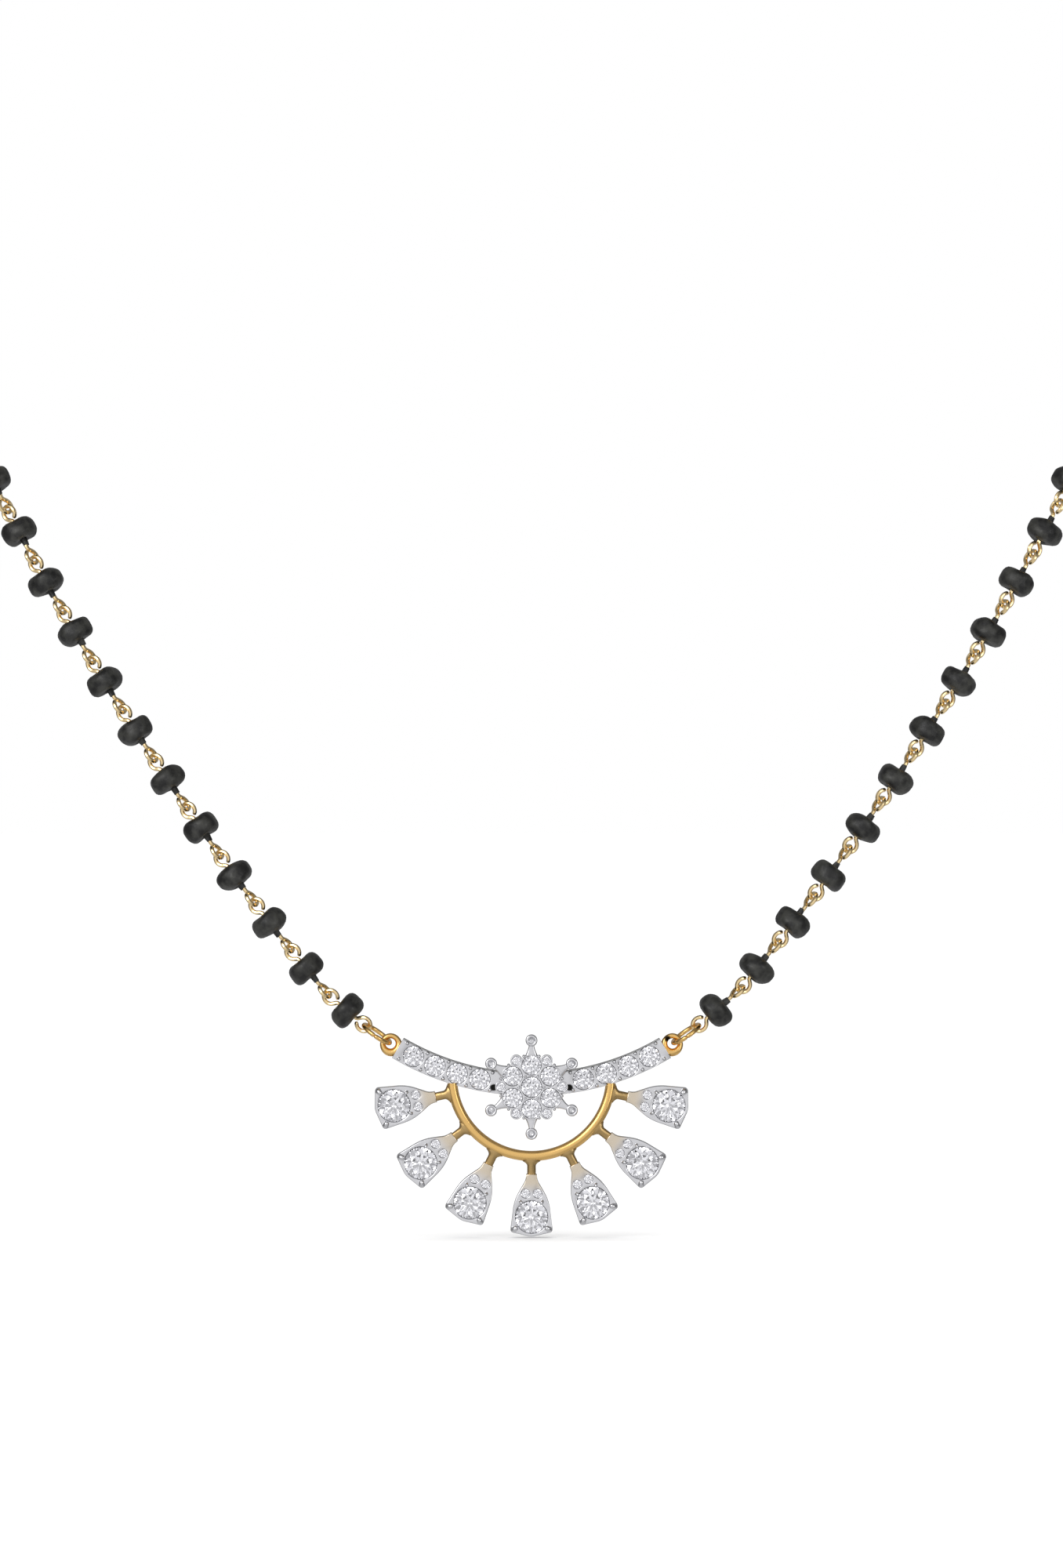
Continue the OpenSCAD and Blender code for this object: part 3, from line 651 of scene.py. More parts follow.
# Sizes of the buff's waves and of its marks in millimetres. The marks are drawn coarse to show.
GOLD_MARKS, SATIN_MARKS, WIRE_MARKS, PLATE_MARKS = (0.5, 0.06), (0.3, 0.08), (0.3, 0.05), (0.4, 0.05)
# The roughness of satin gold and of drawn wire, as shares of the polished gold's, and where
# the glass turns paler on the raised parts of its waves
SATIN, DRAWN, PATCH_SPAN = 1.4, 0.8, {"From Min": 0.38, "From Max": 0.66}


def yellow_gold(f):
    """18 carat yellow gold, cast and machine polished: warm orange-yellow with soft reflections."""
    return polished_metal("yellow_gold_polished", f.gold_colour, f.gold_roughness, *GOLD_MARKS)[0]


def painted_shade_gold(f):
    """Polished yellow gold with painted shade: a near black patch where it is soldered to the bar."""
    return ringed_metal(
        "yellow_gold_painted_shade", f.gold_colour, f.gold_roughness, GOLD_MARKS, f.painted_shade_colour,
        PAINTED_SHADE_AT, PAINTED_SHADE_REACH,
    )


def shaded_stem_gold(f):
    """Yellow gold between the arc and the settings, where the buff hardly reaches: duller, and darkened by
    painted shade.
    """
    return polished_metal("yellow_gold_satin_painted_shade", f.stem_shade_colour, SATIN * f.gold_roughness, *SATIN_MARKS)[0]


def highlight_wire_gold(f):
    """Drawn and bright polished gold wire, painted paler than the casting as a highlight."""
    return polished_metal("yellow_gold_wire_painted_highlight", f.wire_highlight_colour, DRAWN * f.gold_roughness, *WIRE_MARKS)[0]


def rhodium_plate(f):
    """Rhodium plate on gold: a cool near-white mirror, a little softened by buffing."""
    return polished_metal("rhodium_plate_bright", f.rhodium_colour, f.rhodium_roughness, *PLATE_MARKS)[0]


def painted_reflection_plate(f):
    """Rhodium plate with a painted warm reflection at the necks of the settings, fading out further along."""
    return ringed_metal(
        "rhodium_plate_painted_reflection", f.rhodium_colour, f.rhodium_roughness, PLATE_MARKS, f.painted_reflection_colour,
        (0, 0), PAINTED_REFLECTION_REACH,
    )


def shaded_edge_plate(f):
    """Rhodium plate of the bar with painted shade: its narrow upper edge is painted greyer."""
    p = pendant_sizes()
    reach = p.bar_curve_r - p.bar_h / 2 + np.array(EDGE_SHADE_REACH)
    return ringed_metal(
        "rhodium_plate_painted_edge_shade", f.rhodium_colour, f.rhodium_roughness, PLATE_MARKS, f.edge_shade_colour,
        (0, p.bar_centre_y), reach,
    )


def painted_shade_recess(f):
    """Painted shade in a deep recess of the rhodium plate: dark and matt."""
    return polished_metal("rhodium_recess_painted_shade", f.recess_shade_colour, f.recess_roughness, *SATIN_MARKS)[0]


def cut_diamond(f):
    """Brilliant cut diamond: clear, refractive index 2.417, every facet polished flat."""
    return new_material("diamond_brilliant_cut", {
        "Base Color": f.diamond_colour, "Transmission Weight": 1.0, "IOR": 2.417, "Roughness": 0.0
    })[0]


def black_glass(f):
    """Tumbled black glass: near black, softly glossy, a little uneven from being wound by hand,
    and paler on the raised parts of its waves."""
    material, tree, shader, _, waves = worked_material(
        "black_glass_tumbled", {}, f.bead_roughness, GLASS_SPREAD, GLASS_WAVES, GLASS_MARKS
    )
    patches = add_node(tree, "ShaderNodeMapRange", PATCH_SPAN, {"Value": (waves, "Fac")})
    patched = add_node(
        tree, "ShaderNodeMix", {"A": f.bead_colour, "B": f.raised_patch_colour},
        {"Factor": (patches, "Result")}, data_type="RGBA",
    )
    tree.links.new(patched.outputs["Result"], shader.inputs["Base Color"])
    return material


# Each finish's maker, and the slot of the part that it belongs to
FINISHES = {
    "yellow_gold_polished": (yellow_gold, "yellow_gold"),
    "yellow_gold_painted_shade": (painted_shade_gold, "yellow_gold"),
    "yellow_gold_satin_painted_shade": (shaded_stem_gold, "yellow_gold"),
    "yellow_gold_wire_painted_highlight": (highlight_wire_gold, "yellow_gold"),
    "rhodium_plate_bright": (rhodium_plate, "rhodium"),
    "rhodium_plate_painted_reflection": (painted_reflection_plate, "rhodium"),
    "rhodium_plate_painted_edge_shade": (shaded_edge_plate, "rhodium"),
    "rhodium_recess_painted_shade": (painted_shade_recess, "rhodium"),
    "diamond_brilliant_cut": (cut_diamond, "diamond"),
    "black_glass_tumbled": (black_glass, "black_glass"),
}


def in_scene(name, data):
    """A new object in the scene."""
    thing = bpy.data.objects.new(name, data)
    bpy.context.scene.collection.objects.link(thing)
    return thing


def mesh_of(name, surface, smooth=True):
    """A mesh in metres from a surface in millimetres, smooth except across creases."""
    mesh = bpy.data.meshes.new(name)
    corners = np.concatenate([f.ravel() for f in surface.faces])
    sizes = np.concatenate([np.full(len(f), f.shape[1]) for f in surface.faces])
    mesh.vertices.add(len(surface.points))
    mesh.vertices.foreach_set("co", (surface.points * MM).ravel())
    mesh.loops.add(len(corners))
    mesh.loops.foreach_set("vertex_index", corners.astype(np.int32))
    mesh.polygons.add(len(sizes))
    mesh.polygons.foreach_set("loop_start", (np.cumsum(sizes) - sizes).astype(np.int32))
    mesh.polygons.foreach_set("use_smooth", np.full(len(sizes), smooth))
    mesh.update(calc_edges=True)
    if smooth:
        mesh.set_sharp_from_angle(angle=math.radians(CREASE))
    return mesh


def put(name, surface, finish, body, node, smooth=True, flats=False):
    """Puts a finished piece in the scene, on its body and in place of its node. A piece with
    flats has its normals weighted by area, so that a flat face stays flat beside its bevel."""
    maker, slot = FINISHES[finish]
    finishes = bpy.context.scene.mangalsutra_finishes
    mesh = mesh_of(name, surface, smooth)
    mesh.materials.append(bpy.data.materials.get(finish) or maker(finishes))
    piece = in_scene(name, mesh)
    if flats:
        piece.modifiers.new("flat_faces", "WEIGHTED_NORMAL").keep_sharp = True
    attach(piece, body)
    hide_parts(node)


def hang(name, surface, finish, node="pendant_frame", **look):
    """Puts a piece of the pendant, drawn flat (right, up, front), where it hangs: (x, -z, y)."""
    x, y, z = surface.points.T
    hung = Surface(np.stack([x, -z, y], -1) + PENDANT_AT, *surface.faces)
    put(name, hung, finish, "pendant", node, **look)


def in_millimetres(group):
    """A property group's lengths in millimetres, by name."""
    return SimpleNamespace(**{k: getattr(group, k) / MM for k in type(group).__annotations__})


def pendant_sizes():
    """The pendant's lengths, and the places that follow from them."""
    p = in_millimetres(bpy.context.scene.mangalsutra_pendant)
    p.bar_centre_y = p.bar_curve_r - p.bar_drop
    bar_half_l = p.bar_stone_start + (BAR_STONES_SIDE - 1) * p.bar_stone_pitch + p.bar_end_l
    p.bar_half_angle = bar_half_l / p.bar_curve_r
    p.neck_x = p.arc_r + p.arc_w / 2 + p.stem_l
    p.pear_x = p.neck_x + p.pear_l
    p.pear_outer = p.pear_stone_d / 2 + p.pear_rim
    p.accent_x = p.pear_x - (p.pear_stone_d + p.accent_d) / 2 - p.accent_wall
    p.accent_y = (p.accent_d + p.accent_gap) / 2
    out = p.eyelet_bore / 2 + p.eyelet_wire - SOLDER
    c, s = math.cos(p.bar_half_angle), math.sin(p.bar_half_angle)
    p.eyelet_x = p.bar_curve_r * s + out * c
    p.eyelet_y = p.bar_centre_y - p.bar_curve_r * c + out * s
    return p


def cluster_sizes():
    """The cluster's lengths, and the places that follow from them."""
    c = in_millimetres(bpy.context.scene.mangalsutra_cluster)
    c.centre_y = -pendant_sizes().bar_drop - c.cluster_drop
    c.back = METAL_FRONT - SOLDER
    c.front = c.back + c.cluster_t
    return c


def flat_turns(angles):
    """Turns about the pendant's front axis, one for each angle in radians."""
    a = np.atleast_1d(angles).astype(float)
    zero, one = 0 * a, 1 + 0 * a
    rows = [np.cos(a), -np.sin(a), zero, np.sin(a), np.cos(a), zero, zero, zero, one]
    return np.stack(rows, -1).reshape(-1, 3, 3)


def turned_flat(surface, angles):
    """Copies turned about the pendant's front axis by angles in degrees."""
    turns = flat_turns(np.radians(angles))
    return repeated(surface, turns, np.zeros((len(turns), 3)))


def on_rays(surface, which=PEARS):
    """Copies of a surface drawn along +X on the rays of the pear settings."""
    return turned_flat(surface, DOWN + (np.asarray(which) - MIDDLE_PEAR) * RAY_STEP)


def bar_at(p, angle, out=0):
    """Points of the bar at angles a from its middle, out from its centreline: (r sin a,
    centre - r cos a)."""
    r = p.bar_curve_r + out
    return np.stack([r * np.sin(angle), p.bar_centre_y - r * np.cos(angle)], -1)


def on_bar(surface, p, angles):
    """Copies of a surface at angles along the bar's centreline, turned with it."""
    angles = np.atleast_1d(angles)
    return repeated(surface, flat_turns(angles), np.pad(bar_at(p, angles), ((0, 0), (0, 1))))


def bar_places(p, steps=np.arange(BAR_STONES_SIDE)):
    """Angles of places on both sides of the bar from left to right, by their steps from the first
    stone. Without steps, those of the stones."""
    right = (p.bar_stone_start + steps * p.bar_stone_pitch) / p.bar_curve_r
    return np.concatenate([-right[::-1], right])


def on_petals(surface, c, turn, radius, which=PETALS):
    """Copies round the cluster at the angles turn + step times i, each turned with its angle."""
    a = np.radians(turn + np.asarray(which) * PETAL_STEP)
    return repeated(surface, flat_turns(a), polar(radius, a, 0) + (0, c.centre_y, 0))


class MakeArc(bpy.types.Operator):
    """The yellow gold arc, its seven stems and the two end eyelets"""

    bl_idname = "mangalsutra.make_arc"
    bl_label = "Gold arc, stems and eyelets"

    def execute(self, context):
        """Arc: point = centre + (arc radius + section x) (cos a, sin a), at section height z, from
        one lower edge of the bar round to the other."""
        p = pendant_sizes()
        edge_y = p.bar_centre_y - math.sqrt((p.bar_curve_r + p.bar_h / 2) ** 2 - p.arc_r**2)
        start = math.asin(-(edge_y + SOLDER / 2) / p.arc_r)
        a = np.linspace(2 * math.pi - start, math.pi + start, ARC_STEPS)[:, None]
        out, height = squared_round(p.arc_w / 2, p.arc_t / 2, ARC_POWER, ARC_SIDES)
        hang("gold_arc", tube(polar(p.arc_r + out, a, height)), "yellow_gold_polished")

        outer = p.arc_r + p.arc_w / 2
        x = np.concatenate([[p.arc_r], np.linspace(outer, p.neck_x + SOLDER, STEM_STEPS)])
        flare = np.clip((outer + p.stem_gusset - x) / p.stem_gusset, 0, 1) ** 2
        half_w = p.stem_w / 2 + p.stem_gusset * flare
        half_t = np.interp(x, [outer, p.neck_x], np.multiply(STEM_DEPTHS, (p.arc_t, p.stem_t)))
        stem = tapered(x, half_w, half_t, STEM_POWER)
        # The stems' darker gold is painted shade
        for i in PEARS:
            hang(f"stem_{i}", on_rays(stem, [i]), "yellow_gold_satin_painted_shade")

        # The right eyelet carries painted shade where it meets the bar's corner
        for side, name, finish in (
            (LEFT, "left_eyelet", "yellow_gold_polished"), (RIGHT, "right_eyelet", "yellow_gold_painted_shade")
        ):
            ring = self.eyelet(p, UP + side * (EYELET_SOLDER_ANGLE - UP))
            hang(name, moved(ring, side * p.eyelet_x, p.eyelet_y, -p.eyelet_back), finish)
        return {"FINISHED"}

    @staticmethod
    def eyelet(p, solder_angle):
        """A ring whose wire thickens where it is soldered on: half the wire + reach h^2, with
        h = (1 + cos(a - solder angle)) / 2, round a bore that stays round."""
        a, q = round_angles(EYELET_SIDES)[:, None], -round_angles(EYELET_WIRE_SIDES)
        near = (1 + np.cos(a - math.radians(solder_angle))) / 2
        wire_r = p.eyelet_wire / 2 + EYELET_SOLDER * near**2
        out = p.eyelet_bore / 2 + wire_r * (1 + np.cos(q))
        return grid(polar(out, a, wire_r * np.sin(q)), close_rows=True, close_columns=True)


class MakeBar(bpy.types.Operator):
    """The white curved bar with its seats and prongs"""

    bl_idname = "mangalsutra.make_bar"
    bl_label = "Curved bar"

    def execute(self, context):
        """Outline: along the bar's lower edge and back along its upper one."""
        p = pendant_sizes()
        a = np.linspace(-p.bar_half_angle, p.bar_half_angle, BAR_STEPS)
        out = np.repeat([p.bar_h / 2, -p.bar_h / 2], len(a))
        outline = bar_at(p, np.concatenate([a, a[::-1]]), out)
        back, floor = METAL_FRONT - p.bar_t, METAL_FRONT - RECESS_DEPTH
        seat = seat_profile(p.bar_stone_d, METAL_FRONT, back, BAR_LIP)
        seats = [(at, seat) for at in bar_at(p, bar_places(p))]
        hollow = [
            (RECESS_R + RECESS_LIP, METAL_FRONT), (RECESS_R, METAL_FRONT - RECESS_LIP),
            (RECESS_R, floor), (0, floor),
        ]
        seats += [((side * RECESS_X, RECESS_Y), hollow) for side in SIDES]
        band = plate(outline, seats, back, METAL_FRONT, BAR_BEVEL)
        # A thin dark disc of painted shade lies on each hollow's floor
        gap, thick = 0.01, 0.02
        r, top = RECESS_R - gap, floor + thick
        shade_disc = turned([(0, floor), (r, floor), (r, top), (0, top)], RECESS_SIDES)
        shade_discs = [moved(shade_disc, side * RECESS_X, RECESS_Y) for side in SIDES]
        hang("bar_recess_shade_discs", joined(shade_discs), "rhodium_recess_painted_shade")

        gaps = bar_places(p, np.arange(BAR_STONES_SIDE + 1) - 0.5)
        prong = moved(dome(p.bar_prong_d), z=METAL_FRONT)
        prong_y = p.bar_h / 2 - p.bar_prong_d / 2 - BAR_PRONG_INSET
        prongs = [on_bar(moved(prong, y=side * prong_y), p, gaps) for side in SIDES]
        # The bar carries painted shade along its upper edge
        hang("bar_band", joined([band, *prongs]), "rhodium_plate_painted_edge_shade", flats=True)
        return {"FINISHED"}


class MakePears(bpy.types.Operator):
    """The seven pear shaped settings with their seats and prongs"""

    bl_idname = "mangalsutra.make_pears"
    bl_label = "Pear settings"

    def execute(self, context):
        """Outline: the named sections, then the hull of the circles round the main stone and its
        two corner prongs, mirrored and rounded by corner cutting."""
        p = pendant_sizes()
        back = METAL_FRONT - p.pear_t
        sections = np.array(PEAR_SECTIONS) * (p.pear_l, p.pear_outer) + (p.neck_x, 0)
        corner_r = p.pear_outer + CORNER_PLACE * p.corner_prong_d
        inner_r = (p.pear_stone_d + p.inner_prong_d) / 2 + PRONG_CLEAR
        corners = arc_points(corner_r, -CORNER_PRONG_ANGLE, CORNER_PRONG_ANGLE, 2)
        circles = [(0, 0, p.pear_outer)] + [(x, y, p.corner_prong_d / 2) for x, y in corners]
        end_angles = np.radians(np.linspace(PEAR_END_FROM, -PEAR_END_FROM, PEAR_END_STEPS))
        end = hull_of_circles(circles, end_angles) + (p.pear_x, 0)
        outline = rounded(np.vstack([sections, end, (sections * (1, -1))[::-1]]))[::-1]
        accent = seat_profile(p.accent_d, METAL_FRONT, back, ACCENT_LIP)
        seats = [((p.pear_x, 0), seat_profile(p.pear_stone_d, METAL_FRONT, back, PEAR_LIP))]
        seats += [((p.accent_x, side * p.accent_y), accent) for side in SIDES]
        corner = moved(claw(p.corner_prong_d, CORNER_ROOT, CORNER_LEAN), corner_r, 0, METAL_FRONT)
        inner = moved(claw(p.inner_prong_d, PRONG_ROOT, INNER_LEAN), inner_r, 0, METAL_FRONT)
        prongs = [
            moved(turned_flat(prong, [-angle, angle]), p.pear_x)
            for prong, angle in ((corner, CORNER_PRONG_ANGLE), (inner, INNER_PRONG_ANGLE))
        ]
        setting = joined([plate(outline, seats, back, METAL_FRONT, PEAR_BEVEL), *prongs])
        # Each setting carries a painted warm reflection at its neck
        for i in PEARS:
            hang(f"pear_setting_{i}", on_rays(setting, [i]), "rhodium_plate_painted_reflection", flats=True)
        return {"FINISHED"}


class MakeCluster(bpy.types.Operator):
    """The six-armed cluster head with its seats, prongs, arms and tips"""

    bl_idname = "mangalsutra.make_cluster"
    bl_label = "Cluster"

    def execute(self, context):
        """Outline: at each angle the furthest crossing with the seats' circles, at
        c.u + sqrt(radius^2 - |c x u|^2) for a circle at c and a direction u, and at least the
        petals' own distance and rim."""
        c = cluster_sizes()
        notches = PETALS * PETAL_STEP
        stones = np.vstack([
            (0, 0, c.centre_stone_d),
            polar(c.petal_r, np.radians(notches + PETAL_TURN), c.petal_stone_d),
            polar(c.notch_r, np.radians(notches), c.notch_stone_d),
        ])
        u = polar(1, round_angles(HEAD_SIDES))
        along, across = stones[:, :2] @ u.T, stones[:, 1::-1] @ (u * (-1, 1)).T
        inside = (stones[:, 2:] / 2 + c.cluster_rim) ** 2 - across**2
        crossing = np.where(inside > 0, along + np.sqrt(np.abs(inside)), c.petal_r + c.cluster_rim)
        outline = crossing.max(0)[:, None] * u + (0, c.centre_y)
        seats = [
            ((x, y + c.centre_y), seat_profile(stone, c.front, c.back, CLUSTER_LIP))
            for x, y, stone in stones
        ]
        head = plate(outline, seats, c.back, c.front, CLUSTER_BEVEL)

        prong = moved(dome(c.cluster_prong_d), z=c.front)
        petal_prong_r = (c.petal_stone_d + c.cluster_prong_d) / 2 + PRONG_CLEAR
        # As far from the middle as from two neighbouring petals
        between = c.petal_r / (2 * math.cos(math.pi / len(PETALS)))
        prongs = [on_petals(prong, c, 0, between)]
        for side in SIDES:
            beside = turned_flat(moved(prong, petal_prong_r), [side * PETAL_PRONG_ANGLE])
            prongs.append(on_petals(beside, c, PETAL_TURN, c.petal_r))

        root = c.petal_r + c.petal_stone_d / 2 + c.cluster_rim - SOLDER
        x = np.linspace(root, c.tip_r, len(ARM_FLARE))
        arm = tapered(x, c.arm_w / 2 * np.array(ARM_FLARE), 0 * x + c.arm_t / 2, ARM_POWER)
        arm = moved(arm, z=c.front - ARM_DROP - c.arm_t / 2)
        arms = on_petals(joined([arm, moved(self.tip(c), c.tip_r)]), c, PETAL_TURN, 0)
        hang("cluster_head", joined([head, *prongs, arms]), "rhodium_plate_bright", flats=True)
        return {"FINISHED"}

    @staticmethod
    def tip(c):
        """A round cup: a rolled rim round a shallow bowl, turned about its own axis."""
        r, hollow = c.tip_d / 2, c.tip_hollow_d / 2
        rise, bowl_depth, edge = 0.08, 0.14, 0.06
        front, back = c.front + rise, c.front - 2 * rise - c.arm_t
        roll = (r - hollow) / 2
        rim = arc_points(roll, 0, 180, RIM_STEPS, (r - roll, front - roll))
        bowl = quarter(hollow, -bowl_depth)[1:] + (0, front - roll)
        return turned([(0, back), (r - edge, back), (r, back + edge), *rim, *bowl], TIP_SIDES)


class SetStones(bpy.types.Operator):
    """The brilliant cut diamonds in the settings, the bar and the cluster"""

    bl_idname = "mangalsutra.set_stones"
    bl_label = "Diamonds"

    def execute(self, context):
        """Each stone's girdle lies just below the front of the metal round it."""
        p, c = pendant_sizes(), cluster_sizes()

        def cut(diameter, x=0.0, y=0.0, front=METAL_FRONT):
            return moved(brilliant(diameter), x, y, front - GIRDLE_DEPTH)

        def stone(node, surface):
            hang(f"{node}_cut", surface, "diamond_brilliant_cut", node, smooth=False)

        for i in PEARS:
            stone(f"pear_stone_{i}", on_rays(cut(p.pear_stone_d, p.pear_x), [i]))
        pair = [cut(p.accent_d, p.accent_x, side * p.accent_y) for side in SIDES]
        stone("accent_stones", on_rays(joined(pair)))
        for i, angle in enumerate(bar_places(p), start=1):
            stone(f"bar_stone_{i}", on_bar(cut(p.bar_stone_d), p, angle))
        petal, notch = (cut(d, front=c.front) for d in (c.petal_stone_d, c.notch_stone_d))
        for i in PETALS:
            stone(f"cluster_stone_{i}", on_petals(petal, c, PETAL_TURN, c.petal_r, [i]))
        stone("cluster_centre_stone", cut(c.centre_stone_d, 0, c.centre_y, c.front))
        stone("cluster_accent_stones", on_petals(notch, c, 0, c.notch_r))
        return {"FINISHED"}


def chain_sizes():
    """The chain's lengths, and the lengths along it from one link point to the next."""
    k = in_millimetres(bpy.context.scene.mangalsutra_chain)
    k.loop_reach = (k.pin_loop_bore - LINK_GAP) / 2
    k.loop_r = (k.pin_loop_bore + k.pin_wire) / 2
    k.loop_end = k.loop_reach + k.loop_r + k.pin_wire / 2
    k.pin_l = 2 * k.loop_end + k.bead_gap + k.bead_l + k.pin_neck
    k.end_pin_l = 2 * (k.loop_end + k.bead_gap) + k.bead_l
    k.jump_l = k.jump_bore - LINK_GAP
    k.eyelet_link = (pendant_sizes().eyelet_bore - LINK_GAP) / 2
    k.first_link = k.eyelet_link + k.jump_l
    return k


def strand_line():
    """The right strand's route as points and the length travelled to each: a cubic between two
    points p and q, p (2u^3 - 3u^2 + 1) + q (3u^2 - 2u^3) + L (a (u^3 - 2u^2 + u) + b (u^3 - u^2)),
    whose end directions a and b are those of the steps round each point, weighted crosswise."""
    p = pendant_sizes()
    points = np.array([*STRAND_ROUTE, (-p.eyelet_x, *ROUTE_END)], float)
    step = np.diff(points, axis=0)
    size = np.linalg.norm(step, axis=1, keepdims=True)
    heading = step / size
    inner = (heading[1:] * size[:-1] + heading[:-1] * size[1:]) / (size[:-1] + size[1:])
    tangent = np.vstack([heading[:1], inner, [(-1, 0, 0)]])
    u = (np.arange(ROUTE_STEPS) / ROUTE_STEPS)[None, :, None]
    a, b, reach = tangent[:-1, None], tangent[1:, None], size[:, None]
    line = (
        points[:-1, None] * (2 * u**3 - 3 * u**2 + 1) + points[1:, None] * (3 * u**2 - 2 * u**3)
        + a * reach * (u**3 - 2 * u**2 + u) + b * reach * (u**3 - u**2)
    )
    line = np.vstack([line.reshape(-1, 3), points[-1:]])
    line += PENDANT_AT + (p.eyelet_x, p.eyelet_back, p.eyelet_y)
    travelled = np.concatenate([[0], np.cumsum(np.linalg.norm(np.diff(line, axis=0), axis=1))])
    return line, travelled


def strand_at(side, s):
    """Points at travelled lengths along a strand. The left one mirrors the right."""
    line, travelled = strand_line()
    return np.stack([np.interp(s, travelled, line[:, k]) for k in range(3)], -1) * (side, 1, 1)


def links_between(first, last, roll):
    """Frames of links: +X along the chain, +Y outwards from the neck, rolled about +X."""
    x = last - first
    x /= np.linalg.norm(x, axis=1, keepdims=True)
    y = np.stack([x[:, 1], -x[:, 0], 0 * x[:, 0]], -1)
    y /= np.linalg.norm(y, axis=1, keepdims=True)
    turns = np.stack([x, y, np.cross(x, y)], -1)
    c, s = math.cos(math.radians(roll)), math.sin(math.radians(roll))
    return turns @ np.array([(1, 0, 0), (0, c, -s), (0, s, c)]), first


def strand_links(side, s, roll):
    """Frames of the links between travelled lengths. Both strands run the same way round the
    neck, so the left one's links are drawn from their far ends."""
    points = strand_at(side, s)
    ends = (points[:-1], points[1:])[::side]
    return links_between(*ends, roll)


def pin_ends(side, k):
    """Travelled lengths to the ends of a strand's pins. The left strand's first pin is short."""
    lengths = np.full(PINS, k.pin_l)
    if side == LEFT:
        lengths[0] = k.end_pin_l
    return k.first_link + np.concatenate([[0], np.cumsum(lengths)])


def on_pins(side, k, piece, left_first):
    """Copies of a piece along a strand's pins. The left strand's first pin has its own piece."""
    turns, places = strand_links(side, pin_ends(side, k), PIN_ROLL)
    own = 1 if side == LEFT else 0
    return joined([
        repeated(piece, turns[own:], places[own:]), repeated(left_first, turns[:own], places[:own])
    ])


class StringBeads(bpy.types.Operator):
    """The black glass beads of both strands"""

    bl_idname = "mangalsutra.string_beads"
    bl_label = "Beads"

    def execute(self, context):
        """Each bead is a closed profile turned about the chain: two quarter circles of the edge's
        radius, a straight side, and a dimple round the hole. No two are quite alike: each point
        moves along an axis by the unevenness times the sine of its place along the next one."""
        k = chain_sizes()
        half, r = k.bead_l / 2, k.bead_d / 2
        hole = k.pin_wire / 2 + k.bead_gap
        edge_r, edge_z = r - k.bead_edge, half - k.bead_edge
        bead = turned([
            (hole, k.dimple_depth - half), (k.dimple_d / 2, -half),
            *arc_points(k.bead_edge, -90, 0, EDGE_STEPS, (edge_r, -edge_z)),
            *arc_points(k.bead_edge, 0, 90, EDGE_STEPS, (edge_r, edge_z)),
            (k.dimple_d / 2, half), (hole, half - k.dimple_depth),
        ], BEAD_SIDES, closed=True)
        flare, taper, end = 0.02, 0.05, half + SLEEVE_L
        sleeve = turned([
            (SLEEVE_INNER, SLEEVE_START), (SLEEVE_OUTER - flare, SLEEVE_START), (SLEEVE_OUTER, half),
            (SLEEVE_OUTER - taper, end), (SLEEVE_INNER, end),
        ], SLEEVE_SIDES, closed=True)
        place = k.loop_end + k.bead_gap + half
        plain = moved(reordered(bead, Z_TO_X), x=place)
        sleeved = moved(reordered(joined([bead, sleeve]), Z_TO_X), x=place)
        for side, name in zip(SIDES, ("left_beads", "right_beads")):
            beads = on_pins(side, k, sleeved, plain)
            beads.points += k.bead_unevenness * np.sin(BEAD_WAVES * beads.points[:, [1, 2, 0]])
            put(f"{name}_glass", beads, "black_glass_tumbled", "chain", name)
        return {"FINISHED"}


class BendPins(bpy.types.Operator):
    """The gold eye pins that carry the beads"""

    bl_idname = "mangalsutra.bend_pins"
    bl_label = "Eye pins"

    def execute(self, context):
        k = chain_sizes()
        usual, end_pin = self.eye_pin(k, k.pin_l, False), self.eye_pin(k, k.end_pin_l, True)
        # The wire's paler colour is a painted highlight
        for side, name in zip(SIDES, ("left_pins", "right_pins")):
            put(f"{name}_wire", on_pins(side, k, usual, end_pin), "yellow_gold_wire_painted_highlight", "chain", name)
        return {"FINISHED"}

    @staticmethod
    def eye_pin(k, total, second_face_on):
        """A wire with a loop at each end, made of two halves: a straight stem that ends in a loop
        round the origin, whose end stops short of the stem, with its corners cut round. The first
        loop lies in the plane of x and z, and the second there too or in that of x and y."""
        half_stem = total / 2 - k.loop_reach - k.loop_r
        stem = [(-k.loop_r - before, 0) for before in (half_stem, *PIN_BEND)]
        loop = arc_points(k.loop_r, *LOOP_ARC)
        half = wire(rounded(np.vstack([stem, loop]), 1), k.pin_wire / 2, PIN_SIDES)
        first = moved(reordered(reordered(half, TURN_BACK), Y_TO_Z), x=k.loop_reach)
        second = reordered(half, Y_TO_Z) if second_face_on else half
        return joined([first, moved(second, x=total - k.loop_reach)])


